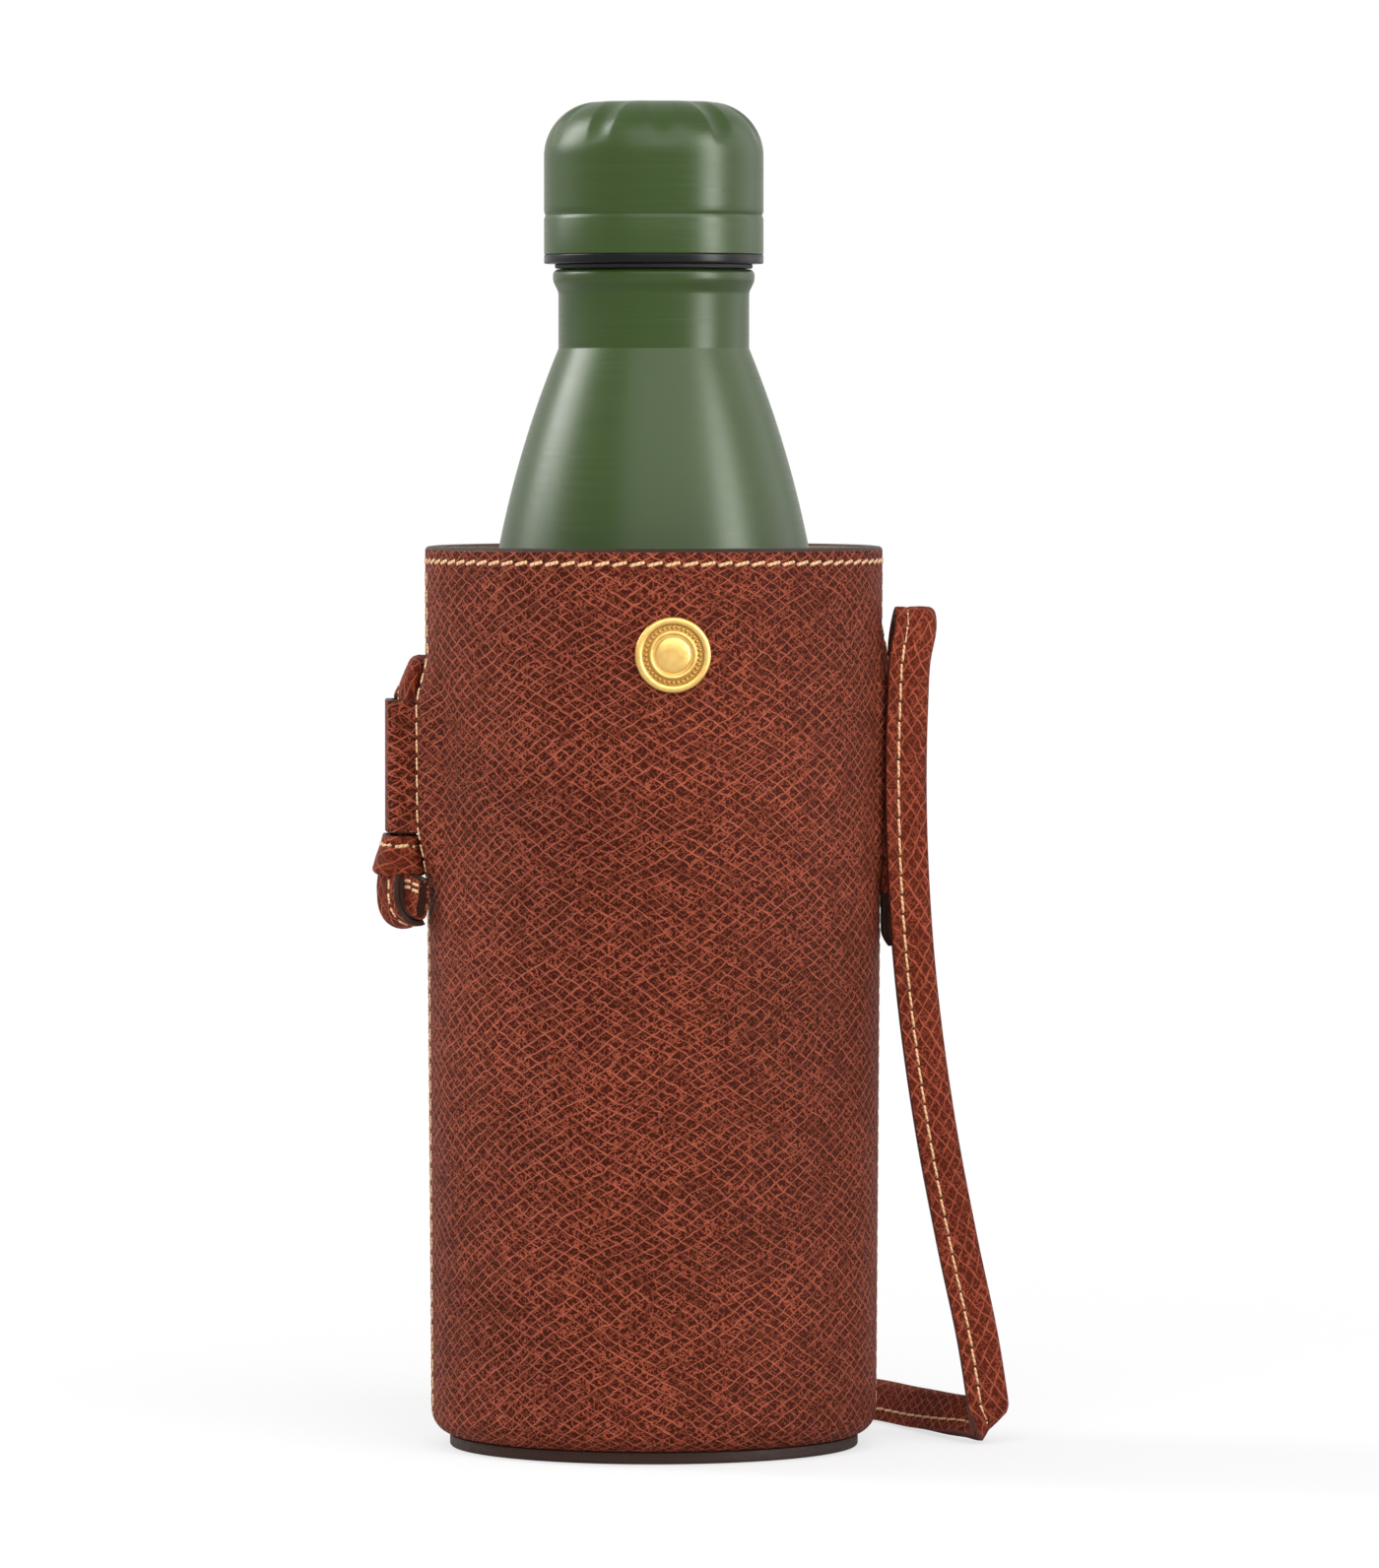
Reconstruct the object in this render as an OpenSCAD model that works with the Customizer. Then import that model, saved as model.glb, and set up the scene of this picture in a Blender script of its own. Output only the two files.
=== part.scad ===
// Double-walled steel bottle standing in a round leather carrier with a knotted strap.
// Millimetres. +Z is up and the stud on the front faces -Y. The origin is the centre of
// the sole's underside, on which the carrier stands.

/* [Carrier] */
// Outer radius of the carrier at its rim
case_rim_r = 46.3; // [44:0.1:52]
// Outer radius of the carrier just above its rolled bottom edge
case_foot_r = 45.1; // [43:0.1:51]
// Height of the rim above the floor
case_h = 182; // [172:1:195]
// Thickness of the outer leather
leather_t = 1.6; // [1.2:0.1:2]
// Thickness of the board between leather and lining
board_t = 0.9; // [0.6:0.1:1.2]
// Thickness of the lining
lining_t = 0.9; // [0.6:0.1:1.2]
// Radius of the rolled bottom edge
foot_roll_r = 5; // [4.5:0.1:6]
// How far leather and lining are turned in under the floor, from the foot radius
turn_in = 14; // [10:0.5:18]
// Radius of the sole
sole_r = 41.4; // [36:0.1:43]
// Thickness of the sole
sole_t = 2.4; // [1.5:0.1:4]
// Thickness of the floor inside the carrier
insole_t = 1.2; // [0.8:0.1:3]

/* [Stud] */
// Radius of the stud's head
stud_r = 7.6; // [6:0.1:9]
// Height of the stud's centre above the floor
stud_z = 161.4; // [150:0.2:168]
// Height of the rounded bead along the edge of the head
stud_bead_h = 1.6; // [1.2:0.1:2.2]
// Radius of the rivet post behind the head
post_r = 2; // [1.5:0.1:2.5]
// Radius of the washer inside the carrier
washer_r = 4.5; // [3.5:0.1:6]
// Thickness of the washer
washer_t = 1; // [0.6:0.1:1.2]

/* [Side patches and keepers] */
// Width of a patch along the wall
patch_w = 24; // [20:0.5:28]
// Height of a patch
patch_h = 47; // [42:0.5:54]
// Height of a patch's middle above the floor
patch_z = 135.5; // [130:0.5:140]
// Thickness of a patch
patch_t = 1.2; // [0.8:0.1:1.4]
// Width of a keeper along the wall
keeper_w = 12.4; // [11.6:0.1:14]
// Height of a keeper
keeper_h = 27; // [20:0.5:30]
// Height of a keeper's lower edge above the floor
keeper_z = 124.5; // [122:0.1:128]
// How far a keeper stands out from the wall
keeper_depth = 8.1; // [8:0.1:10]
// Thickness of the keeper's leather
keeper_t = 1.4; // [1:0.1:1.6]
// Radius of the keeper's outer bends
keeper_bend_r = 2; // [1.7:0.1:3]

/* [Strap] */
// Width of the folded strap
strap_w = 8.2; // [7:0.1:8.4]
// Thickness of the folded strap
strap_t = 3.4; // [2.6:0.1:3.6]
// Height of the wrap that makes each knot
knot_h = 8.2; // [7:0.1:9]
// Length of the curled end below the left knot
left_curl_l = 10; // [8:0.5:12]
// Length of the cut end below the left knot
left_stub_l = 4.3; // [3:0.1:5]
// Length of the curled end below the right knot
right_curl_l = 9; // [8:0.5:12]
// Length of the cut end below the right knot
right_stub_l = 14.2; // [10:0.1:16]

/* [Bottle] */
// Radius of the bottle's body
bottle_r = 35.4; // [33:0.1:38]
// Height of the straight body, from the bottle's base
body_h = 133.2; // [110:0.1:150]
// Radius of the long curve of the shoulder
shoulder_r = 215; // [150:1:260]
// Radius of the neck
neck_r = 19.3; // [18.6:0.1:22]
// Height of the straight neck
neck_h = 11.4; // [8:0.1:20]
// Radius of the bead below the lip
bead_r = 20.4; // [20.2:0.1:23]
// Height of the bead
bead_h = 4.6; // [4:0.1:6]
// Thickness of the outer wall
shell_t = 0.7; // [0.5:0.1:0.9]
// Thickness of the inner wall
liner_t = 0.6; // [0.4:0.1:0.8]
// Vacuum gap round the body
vacuum_gap = 3.1; // [2:0.1:5]
// Radius inside the mouth
mouth_r = 17.3; // [16.6:0.1:17.4]
// Height of the inner wall's bottom above the bottle's base
liner_lift = 6; // [5:0.5:10]
// Radius of the bottle's lower corner
base_round_r = 3; // [2:0.1:5]
// Radius of the corner inside the bottle
liner_round_r = 9; // [5:0.5:14]
// Width of the ring that the bottle stands on
foot_ring_w = 3.4; // [2:0.1:6]
// Thickness of the base plate
base_plate_t = 0.8; // [0.5:0.1:1.2]
// Radius of the plug that closes the vacuum
vacuum_plug_r = 6.5; // [5:0.1:9]
// Radius of that plug's stem
vacuum_stem_r = 4; // [2:0.1:4.5]

/* [Cap] */
// Radius of the cap
cap_r = 22.2; // [21.6:0.1:24]
// Height of the painted cap above its black collar
cap_h = 30.8; // [26:0.1:36]
// Radius of the cap's rounded top edge
cap_round_r = 11; // [9:0.1:13]
// Thickness of the cap's wall
cap_wall = 1.2; // [1.1:0.1:1.4]
// Number of flutes round the top edge
flute_count = 10; // [6:1:12]
// Depth of a flute
flute_depth = 0.7; // [0.3:0.1:0.8]
// Radius of a flute's hollow
flute_r = 5; // [3:0.1:7]
// Turn of the first flute from +X
flute_turn = 18; // [0:1:35]
// Height of the groove above the cap's lower edge
groove_z = 7.9; // [6.8:0.1:12]
// Width of the groove
groove_w = 1.5; // [0.8:0.1:2]
// Depth of the groove
groove_d = 0.25; // [0.1:0.05:0.5]
// Thickness of the collar
collar_t = 1.9; // [1.2:0.1:3]
// Height of the ring on the collar that the cap is pushed on
spigot_h = 6; // [3:0.5:6.5]
// Thickness of that ring
spigot_wall = 1.5; // [1:0.1:2]
// Radius of the screw plug
plug_r = 15.6; // [14:0.1:16]
// Depth of the screw plug below the collar
plug_h = 17; // [10:0.5:17.5]
// Thickness of the screw plug's wall
plug_wall = 1.6; // [1:0.1:2.5]
// Thickness of the seal
seal_t = 0.9; // [0.5:0.1:1.5]

/* [Clearances] */
// Glue line between layers of one piece
layer_gap = 0.05; // [0.02:0.01:0.1]
// Gap under the bottle where it stands in the carrier
rest_gap = 0.3; // [0.2:0.05:0.5]
// Gap between seal and lip when the cap is closed
seal_gap = 0.15; // [0.1:0.05:0.3]
// Gap between a keeper's lower edge and the knot below it
knot_gap = 0.5; // [0.3:0.1:1]
// Gap between the two loose ends below a knot
tail_gap = 0.6; // [0.4:0.1:1]
// Play of a keeper's legs in the slits of its patch
slit_play = 0.1; // [0.05:0.01:0.2]
// Play between the rivet post and its holes
post_play = 0.05; // [0.02:0.01:0.1]
// Play between the seal and the screw plug inside it
seal_play = 0.3; // [0.2:0.05:0.5]
// How far the seal stays inside the bead
seal_inset = 0.4; // [0.2:0.1:1]

/* [Hidden] */
$fn = 96;
LEFT = -1;
RIGHT = 1;
// A cut reaches this far past the face it opens
reach = 1;

// Layers of the carrier's wall, from the outside in
board_inset = leather_t + layer_gap;
lining_inset = board_inset + board_t + layer_gap;
wall_t = lining_inset + lining_t;
// Centre of all the rolled bottom corners
roll_centre = [case_foot_r - foot_roll_r, sole_t + foot_roll_r];
turn_in_r = case_foot_r - turn_in;
insole_z = sole_t + wall_t + layer_gap;
insole_r = roll_centre[0] - layer_gap;
base_z = insole_z + insole_t + rest_gap;

// Heights of the bottle
shoulder_z = base_z + body_h;
neck_z = shoulder_z + shoulder_rise(shoulder_r, bottle_r, neck_r);
bead_z = neck_z + neck_h;
lip_z = bead_z + bead_h;
seal_z = lip_z + seal_gap;
collar_z = seal_z + seal_t + layer_gap;
cap_z = collar_z + collar_t;
cap_top_z = cap_z + cap_h;
liner_z = base_z + liner_lift;
liner_r = bottle_r - shell_t - vacuum_gap;
liner_neck_r = mouth_r + liner_t;
shoulder_centre = [bottle_r - shoulder_r, shoulder_z];
liner_arc_r = liner_r - shoulder_centre[0];

// Knots hang just below the keepers and clear of the patches
knot_top_z = keeper_z - knot_gap;
knot_z = knot_top_z - knot_h;
// Half the width of a knot at its top, and how much wider it is at its bottom
function knot_half_x(side) = strap_w * (side == LEFT ? 0.46 : 0.36);
function knot_flare(side) = side == LEFT ? 1.3 : 1.1;
function knot_x(side) =
    wall_r(keeper_z) + patch_t + rest_gap + knot_half_x(side) * knot_flare(side);

// Outer radius of the carrier's wall at a height
function wall_r(z) =
    case_foot_r + (case_rim_r - case_foot_r) * (z - roll_centre[1]) / (case_h - roll_centre[1]);
// Rise of the shoulder's curve from the body's radius in to a smaller one
function shoulder_rise(curve_r, r_from, r_to) =
    sqrt(pow(curve_r, 2) - pow(curve_r - r_from + r_to, 2));
// Points along an arc
function arc(centre, r, from, to, steps) =
    [for (i = [0:steps]) let (a = from + (to - from) * i / steps) centre + r * [cos(a), sin(a)]];
function unit(v) = v / norm(v);

// Route of the strap's centre line, from the left knot to the right one, each point with the
// direction from the strap's middle to its raw edge. It leaves the left keeper, drops behind
// the carrier, lies on edge in two bends on the floor, folds over and rises again on the right.
strap_route = [
    [[-50, 0, 124], [0, 1, 0]],
    [[-50, 0, 149], [0, 1, 0]],
    [[-50, 0.2, 153.2], [0.05, 1, -0.15]],
    [[-49.6, 3.7, 156.2], [0.05, 0.7, -0.7]],
    [[-48.2, 10.5, 156.6], [-0.1, 0.3, -0.95]],
    [[-44.3, 20.5, 155], [-0.1, 0, -1]],
    [[-39.2, 32, 148.5], [0.25, -0.4, -0.8]],
    [[-36, 44, 130], [0.8, -0.3, -0.4]],
    [[-34, 56, 97], [1, 0, 0]],
    [[-34, 89, 25], [0.7, -0.3, -0.7]],
    [[-26, 110, 6], [0, 0, -1]],
    [[-6, 118, 4.4], [0, 0, -1]],
    [[28, 118, 4.4], [0, 0, -1]],
    [[43, 103, 4.4], [0, 0, -1]],
    [[28, 88, 4.4], [0, 0, -1]],
    [[-14, 88, 4.4], [0, 0, -1]],
    [[-29, 73, 4.4], [0, 0, -1]],
    [[-14, 58, 4.4], [0, 0, -1]],
    [[22, 58, 4.4], [0, 0, -1]],
    [[46, 50, 4.4], [0, 0, -1]],
    [[57, 25, 4.4], [-0.15, 0, -1]],
    [[62, 10.5, 4.6], [-0.35, -0.1, -0.9]],
    [[65, 4, 4.7], [-0.45, -0.2, -0.85]],
    [[67.5, -2, 4.6], [-0.5, -0.25, -0.85]],
    [[68, -3.9, 5], [-0.7, -0.35, -0.6]],
    [[67.9, -5.4, 6.3], [-0.9, -0.3, -0.35]],
    [[67.6, -6, 8.1], [-1, 0, -0.15]],
    [[65.7, -6.6, 20], [-1, 0, -0.15]],
    [[61.2, -7.4, 41], [-1, 0, -0.15]],
    [[56.5, -8.8, 65], [-1, 0, -0.1]],
    [[51.3, -11.8, 105], [-1, 0, 0]],
    [[50.9, -11, 150], [-1, 0, 0]],
    [[51.9, -10.6, 161], [-1, 0, 0]],
    [[52.5, -9, 166], [-1, 0, 0]],
    [[52.6, -5.5, 168.4], [-1, 0, 0]],
    [[52.4, -2, 166], [-1, -0.2, 0]],
    [[51.6, -0.4, 161], [-0.8, -0.6, 0]],
    [[50.5, 0, 156], [-0.3, -0.95, 0]],
    [[50, 0, 151], [0, -1, 0]],
    [[50, 0, 124], [0, -1, 0]]
];
route_points = [for (stop = strap_route) stop[0]];
route_edges = [for (stop = strap_route) stop[1]];
// Rings per stretch between two route points
route_steps = 2;
echo(strap_length = path_length([for (i = [0:len(route_points) - 2]) each
    [for (k = [0:9]) route_at(route_points, i, k / 10)]]));

// Length along a list of points
function path_length(points, i = 0) =
    i >= len(points) - 1 ? 0 : norm(points[i + 1] - points[i]) + path_length(points, i + 1);
// Direction of a smooth curve through points, at point i
function route_slope(p, i) =
    i == 0 ? unit(p[1] - p[0]) :
    i == len(p) - 1 ? unit(p[i] - p[i - 1]) :
    let (before = norm(p[i] - p[i - 1]), after = norm(p[i + 1] - p[i]))
    (unit(p[i] - p[i - 1]) * after + unit(p[i + 1] - p[i]) * before) / (before + after);
// Point and direction of that curve, a share s of the way from point i to the next
function route_at(p, i, s) =
    let (span = norm(p[i + 1] - p[i]))
    (2 * pow(s, 3) - 3 * pow(s, 2) + 1) * p[i] + (3 * pow(s, 2) - 2 * pow(s, 3)) * p[i + 1]
    + span * ((pow(s, 3) - 2 * pow(s, 2) + s) * route_slope(p, i)
    + (pow(s, 3) - pow(s, 2)) * route_slope(p, i + 1));
function route_dir_at(p, i, s) =
    let (span = norm(p[i + 1] - p[i]))
    unit((6 * pow(s, 2) - 6 * s) * (p[i] - p[i + 1])
    + span * ((3 * pow(s, 2) - 4 * s + 1) * route_slope(p, i)
    + (3 * pow(s, 2) - 2 * s) * route_slope(p, i + 1)));

// Section of the strap: a flat bar with its corners taken off, as [along width, along thickness]
strap_corner = strap_t / 4;
strap_section = [for (quarter = [[1, 1], [-1, 1], [-1, -1], [1, -1]])
    let (a = strap_w / 2, b = strap_t / 2, same = quarter[0] * quarter[1] > 0)
    each same
        ? [[quarter[0] * a, quarter[1] * (b - strap_corner)],
           [quarter[0] * (a - strap_corner), quarter[1] * b]]
        : [[quarter[0] * (a - strap_corner), quarter[1] * b],
           [quarter[0] * a, quarter[1] * (b - strap_corner)]]];
// One ring of the strap about a centre, for its direction and the way to its raw edge
function strap_ring(centre, dir, edge) =
    let (w = unit(edge - (edge * dir) * dir), n = cross(dir, w))
    [for (q = strap_section) centre + q[0] * w + q[1] * n];
// All rings of a strap along route points with their edge directions
function strap_rings(points, edges, steps) =
    let (last = len(points) - 2)
    concat(
        [for (i = [0:last]) for (k = [0:steps - 1])
            let (s = k / steps, edge = edges[i] + s * (edges[i + 1] - edges[i]))
            strap_ring(route_at(points, i, s), route_dir_at(points, i, s), edge)],
        [strap_ring(points[last + 1], route_slope(points, last + 1), edges[last + 1])]);

// Closed solid through rings of equal length, each counter-clockwise seen from the next one
module loft(rings) {
    n = len(rings[0]);
    last = (len(rings) - 1) * n;
    sides = [for (i = [0:n:last - n]) for (j = [0:n - 1]) let (k = (j + 1) % n)
        each [[i + j, i + n + k, i + k], [i + j, i + n + j, i + n + k]]];
    ends = [for (j = [1:n - 2]) each [[0, j, j + 1], [last, last + j + 1, last + j]]];
    polyhedron(points = [for (ring = rings) each ring], faces = concat(sides, ends), convexity = 8);
}

// Turns a module's child about the axis from the front, with its own +Z pointing out along -Y
module on_front(y, z) {
    translate([0, y, z])
        rotate([90, 0, 0])
            children();
}

// Makes a right-hand piece into a left-hand one
module on_side(side) {
    mirror([side == LEFT ? 1 : 0, 0, 0])
        children();
}

// Section of a layer of the carrier's wall, rolled in at the bottom to inner_r
module wall_section(inset, thickness, inner_r) {
    outer_roll = foot_roll_r - inset;
    inner_roll = outer_roll - thickness;
    steps = 8;
    polygon(concat(
        [[inner_r, roll_centre[1] - outer_roll]],
        arc(roll_centre, outer_roll, -90, 0, steps),
        [[case_rim_r - inset, case_h], [case_rim_r - inset - thickness, case_h]],
        arc(roll_centre, inner_roll, 0, -90, steps),
        [[inner_r, roll_centre[1] - inner_roll]]));
}

// Hole for the rivet post through the front of the wall
module post_hole() {
    on_front(0, stud_z)
        cylinder(r = post_r + post_play, h = case_rim_r + reach);
}

// Where the flat back of the stud meets the round wall
stud_seat_y = -sqrt(pow(wall_r(stud_z), 2) - pow(stud_r, 2));
// Where the flat washer meets the round lining
washer_y = -sqrt(pow(wall_r(stud_z) - wall_t, 2) - pow(washer_r, 2)) + layer_gap;

module case_front_panel() {
    color("saddlebrown")
        difference() {
            rotate([0, 0, 180])
                rotate_extrude(angle = 180)
                    wall_section(0, leather_t, turn_in_r);
            post_hole();
            on_front(stud_seat_y, stud_z)
                cylinder(r = stud_r + layer_gap, h = leather_t);
        }
}

module case_back_panel() {
    color("saddlebrown")
        rotate_extrude(angle = 180)
            wall_section(0, leather_t, turn_in_r);
}

module case_stiffener() {
    color("burlywood")
        difference() {
            rotate_extrude()
                wall_section(board_inset, board_t, 0);
            post_hole();
        }
}

module case_lining() {
    color("tan")
        difference() {
            rotate_extrude()
                wall_section(lining_inset, lining_t, turn_in_r);
            post_hole();
        }
}

module case_insole() {
    color("tan")
        translate([0, 0, insole_z])
            cylinder(r = insole_r, h = insole_t);
}

module case_sole() {
    edge = sole_t / 4;
    color([0.22, 0.16, 0.14])
        rotate_extrude()
            polygon([[0, 0], [sole_r - edge, 0], [sole_r, edge], [sole_r, sole_t], [0, sole_t]]);
}

// Head with a beaded edge, a sunk field, an inner ring and a low dome, on its rivet post
module stud_head() {
    bead = stud_bead_h / 2;
    field_h = 0.6 * stud_bead_h;
    ring_r = 0.56 * stud_r;
    ring_w = 0.06 * stud_r;
    dome_r = 0.44 * stud_r;
    dome_h = stud_bead_h - field_h;
    steps = 10;
    color("gold")
        on_front(stud_seat_y - layer_gap, stud_z) {
            rotate_extrude()
                polygon(concat(
                    [[0, 0], [stud_r, 0]],
                    arc([stud_r - bead, stud_bead_h - bead], bead, 0, 150, steps),
                    [[stud_r - 2 * bead, field_h], [ring_r + 2 * ring_w, field_h]],
                    arc([ring_r, field_h], ring_w, 0, 180, steps),
                    [[dome_r, field_h]],
                    [for (i = [1:steps]) let (a = 90 * i / steps)
                        [dome_r * cos(a), field_h + dome_h * sin(a)]]));
            post_l = washer_y + washer_t - stud_seat_y + layer_gap;
            translate([0, 0, -post_l])
                cylinder(r = post_r, h = post_l);
        }
}

module stud_washer() {
    color("gold")
        on_front(washer_y + washer_t, stud_z)
            difference() {
                cylinder(r = washer_r, h = washer_t);
                translate([0, 0, -reach])
                    cylinder(r = post_r + post_play, h = washer_t + 2 * reach);
            }
}

// Outline with round ends, standing upright about its middle
module stadium(w, h) {
    square([w, h - w], center = true);
    for (end = [-1, 1])
        translate([0, end * (h - w) / 2])
            circle(d = w);
}

// Where a keeper's legs stand, from the patch's middle
leg_y = (keeper_w - keeper_t) / 2;
patch_reach = case_rim_r + patch_t + reach;

// Patch that hugs the wall, with two slits for the legs of the keeper
module side_patch(side) {
    top_z = patch_z + patch_h / 2;
    low_z = patch_z - patch_h / 2;
    slit_w = keeper_t + 2 * slit_play;
    slit_h = keeper_h + 2 * slit_play;
    turn = 40;
    color("sienna")
        on_side(side)
            difference() {
                intersection() {
                    rotate([0, 0, -turn])
                        rotate_extrude(angle = 2 * turn)
                            polygon([for (z = [low_z, top_z], out = [0, patch_t])
                                [wall_r(z) + layer_gap + (z == low_z ? out : patch_t - out), z]]);
                    translate([0, 0, patch_z])
                        rotate([90, 0, 90])
                            linear_extrude(patch_reach)
                                stadium(patch_w, patch_h);
                }
                for (leg = [-1, 1])
                    translate([0, leg * leg_y - slit_w / 2, keeper_z - slit_play])
                        cube([patch_reach, slit_w, slit_h]);
            }
}

module side_patch_left() {
    side_patch(LEFT);
}

module side_patch_right() {
    side_patch(RIGHT);
}

// Bar from x = 0 to depth with its two far corners rounded
module rounded_bar(depth, width, r) {
    translate([0, -width / 2])
        square([depth - r, width]);
    translate([0, r - width / 2])
        square([depth, width - 2 * r]);
    for (end = [-1, 1])
        translate([depth - r, end * (width / 2 - r)])
            circle(r = r);
}

// Leather tunnel for the strap, bent to a U, with its legs through the slits of the patch
module strap_keeper(side) {
    wall_x = wall_r(keeper_z + keeper_h) + 2 * layer_gap;
    color("sienna")
        on_side(side)
            translate([wall_x, 0, keeper_z])
                linear_extrude(keeper_h)
                    difference() {
                        rounded_bar(keeper_depth, keeper_w, keeper_bend_r);
                        translate([-reach, 0])
                            rounded_bar(keeper_depth - keeper_t + reach, keeper_w - 2 * keeper_t,
                                keeper_bend_r - keeper_t);
                    }
}

module strap_keeper_left() {
    strap_keeper(LEFT);
}

module strap_keeper_right() {
    strap_keeper(RIGHT);
}

module strap() {
    color("brown")
        loft(strap_rings(route_points, route_edges, route_steps));
}

// Wrap of the strap round itself, wider at the bottom, as rounded oblong rings
module strap_knot(side) {
    half_x = knot_half_x(side);
    half_y = strap_w * 0.75;
    flare = knot_flare(side);
    soft = 0.55;
    sides = 20;
    levels = [[0, 0.93, flare], [0.18, 1, flare], [0.45, 1, (1 + flare) / 2],
        [0.85, 1, 1], [1, 0.9, 1]];
    color("brown")
        on_side(side)
            loft([for (level = levels) let (x = half_x * level[2]) [for (i = [0:sides - 1])
                let (a = 360 * i / sides, c = cos(a), s = sin(a))
                [knot_x(side) + level[1] * x * sign(c) * pow(abs(c), soft),
                 level[1] * half_y * sign(s) * pow(abs(s), soft),
                 knot_z + level[0] * knot_h]]]);
}

module strap_knot_left() {
    strap_knot(LEFT);
}

module strap_knot_right() {
    strap_knot(RIGHT);
}

// Loose ends below a knot: one that stands out from the knot's middle and curls in under itself,
// and a cut one that slips forward beside it. Both are turned a little from the wall.
module strap_tail(side, curl_l, curl_turn, stub_l, turn, out, slip) {
    edge = [sin(turn), cos(turn), 0];
    inward = [-cos(turn), sin(turn), 0];
    curl_r = strap_t * 0.6;
    outer = [knot_x(side) + out, -strap_w / 4, knot_z];
    inner = outer + inward * (strap_t + tail_gap) - edge * slip;
    down = [0, 0, -1];
    hang = curl_l - curl_r - strap_t / 2;
    curl_centre = outer + down * hang + inward * curl_r;
    curl = [for (a = [0:15:curl_turn])
        curl_centre - inward * curl_r * cos(a) + down * curl_r * sin(a)];
    outer_points = concat([outer], [outer + down * hang / 2], curl);
    inner_points = [for (share = [0, 0.5, 1]) inner + down * stub_l * share];
    color("brown")
        on_side(side)
            for (points = [outer_points, inner_points])
                loft(strap_rings(points, [for (p = points) edge], 1));
}

module strap_tail_left() {
    strap_tail(LEFT, curl_l = left_curl_l, curl_turn = 90, stub_l = left_stub_l,
        turn = 14, out = 0.26 * strap_w, slip = 0.63 * strap_w);
}

module strap_tail_right() {
    strap_tail(RIGHT, curl_l = right_curl_l, curl_turn = 45, stub_l = right_stub_l,
        turn = 6, out = 0.33 * strap_w, slip = 0.4 * strap_w);
}

// Radius on the shoulder's curve, as points up to where it reaches a neck radius
function shoulder_arc(r, end_r, steps) =
    arc(shoulder_centre, r, 0, acos((end_r - shoulder_centre[0]) / r), steps);
function backwards(points) = [for (i = [len(points) - 1:-1:0]) points[i]];

// Outer wall: foot ring, straight body, long shoulder, neck, and bead closed onto the inner wall
module bottle_shell() {
    steps = 20;
    corner = [bottle_r - base_round_r, base_z + base_round_r];
    lip_round = 0.8;
    cove = bead_r - neck_r;
    inner_bead_r = bead_r - shell_t;
    inner_neck_r = neck_r - shell_t;
    closed_r = liner_neck_r + layer_gap;
    color("darkolivegreen")
        rotate_extrude()
            polygon(concat(
                [[corner[0] - foot_ring_w, base_z]],
                arc(corner, base_round_r, -90, 0, 6),
                shoulder_arc(shoulder_r, neck_r, steps),
                [[neck_r, bead_z], [bead_r, bead_z + cove]],
                arc([bead_r - lip_round, lip_z - lip_round], lip_round, 0, 90, 4),
                [[closed_r, lip_z], [closed_r, lip_z - shell_t], [inner_bead_r, lip_z - shell_t]],
                [[inner_bead_r, bead_z + cove + shell_t / 2], [inner_neck_r, bead_z + shell_t / 2]],
                backwards(shoulder_arc(shoulder_r - shell_t, inner_neck_r, steps)),
                arc(corner, base_round_r - shell_t, 0, -90, 6),
                [[corner[0] - foot_ring_w, base_z + shell_t]]));
}

// Inner wall: the vessel that holds the drink, up to the mouth
module bottle_liner() {
    steps = 20;
    corner = [liner_r - liner_round_r, liner_z + liner_round_r];
    color("silver")
        rotate_extrude()
            polygon(concat(
                [[0, liner_z]],
                arc(corner, liner_round_r, -90, 0, 8),
                shoulder_arc(liner_arc_r, liner_neck_r, steps),
                [[liner_neck_r, lip_z], [mouth_r, lip_z]],
                backwards(shoulder_arc(liner_arc_r - liner_t, mouth_r, steps)),
                arc(corner, liner_round_r - liner_t, 0, -90, 8),
                [[0, liner_z + liner_t]]));
}

base_plate_z = base_z + shell_t + layer_gap;

module bottle_base() {
    color("silver")
        translate([0, 0, base_plate_z])
            difference() {
                cylinder(r = bottle_r - base_round_r - layer_gap, h = base_plate_t);
                translate([0, 0, -reach])
                    cylinder(r = vacuum_stem_r + post_play, h = base_plate_t + 2 * reach);
            }
}

// Plug with a flat head under the base plate and a stem in its hole
module vacuum_plug() {
    head_t = shell_t * 0.8;
    stem_h = base_plate_t + liner_lift / 4;
    color("dimgray")
        translate([0, 0, base_plate_z - layer_gap - head_t]) {
            cylinder(r = vacuum_plug_r, h = head_t);
            cylinder(r = vacuum_stem_r, h = head_t + layer_gap + stem_h);
        }
}

// Section of the cap down to its lower edge, inset from its outer face
module cap_section(inset, low_z) {
    corner = [cap_r - cap_round_r, cap_top_z - cap_round_r];
    polygon(concat(
        [[0, low_z], [cap_r - inset, low_z]],
        arc(corner, cap_round_r - inset, 0, 90, 12),
        [[0, cap_top_z - inset]]));
}

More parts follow.
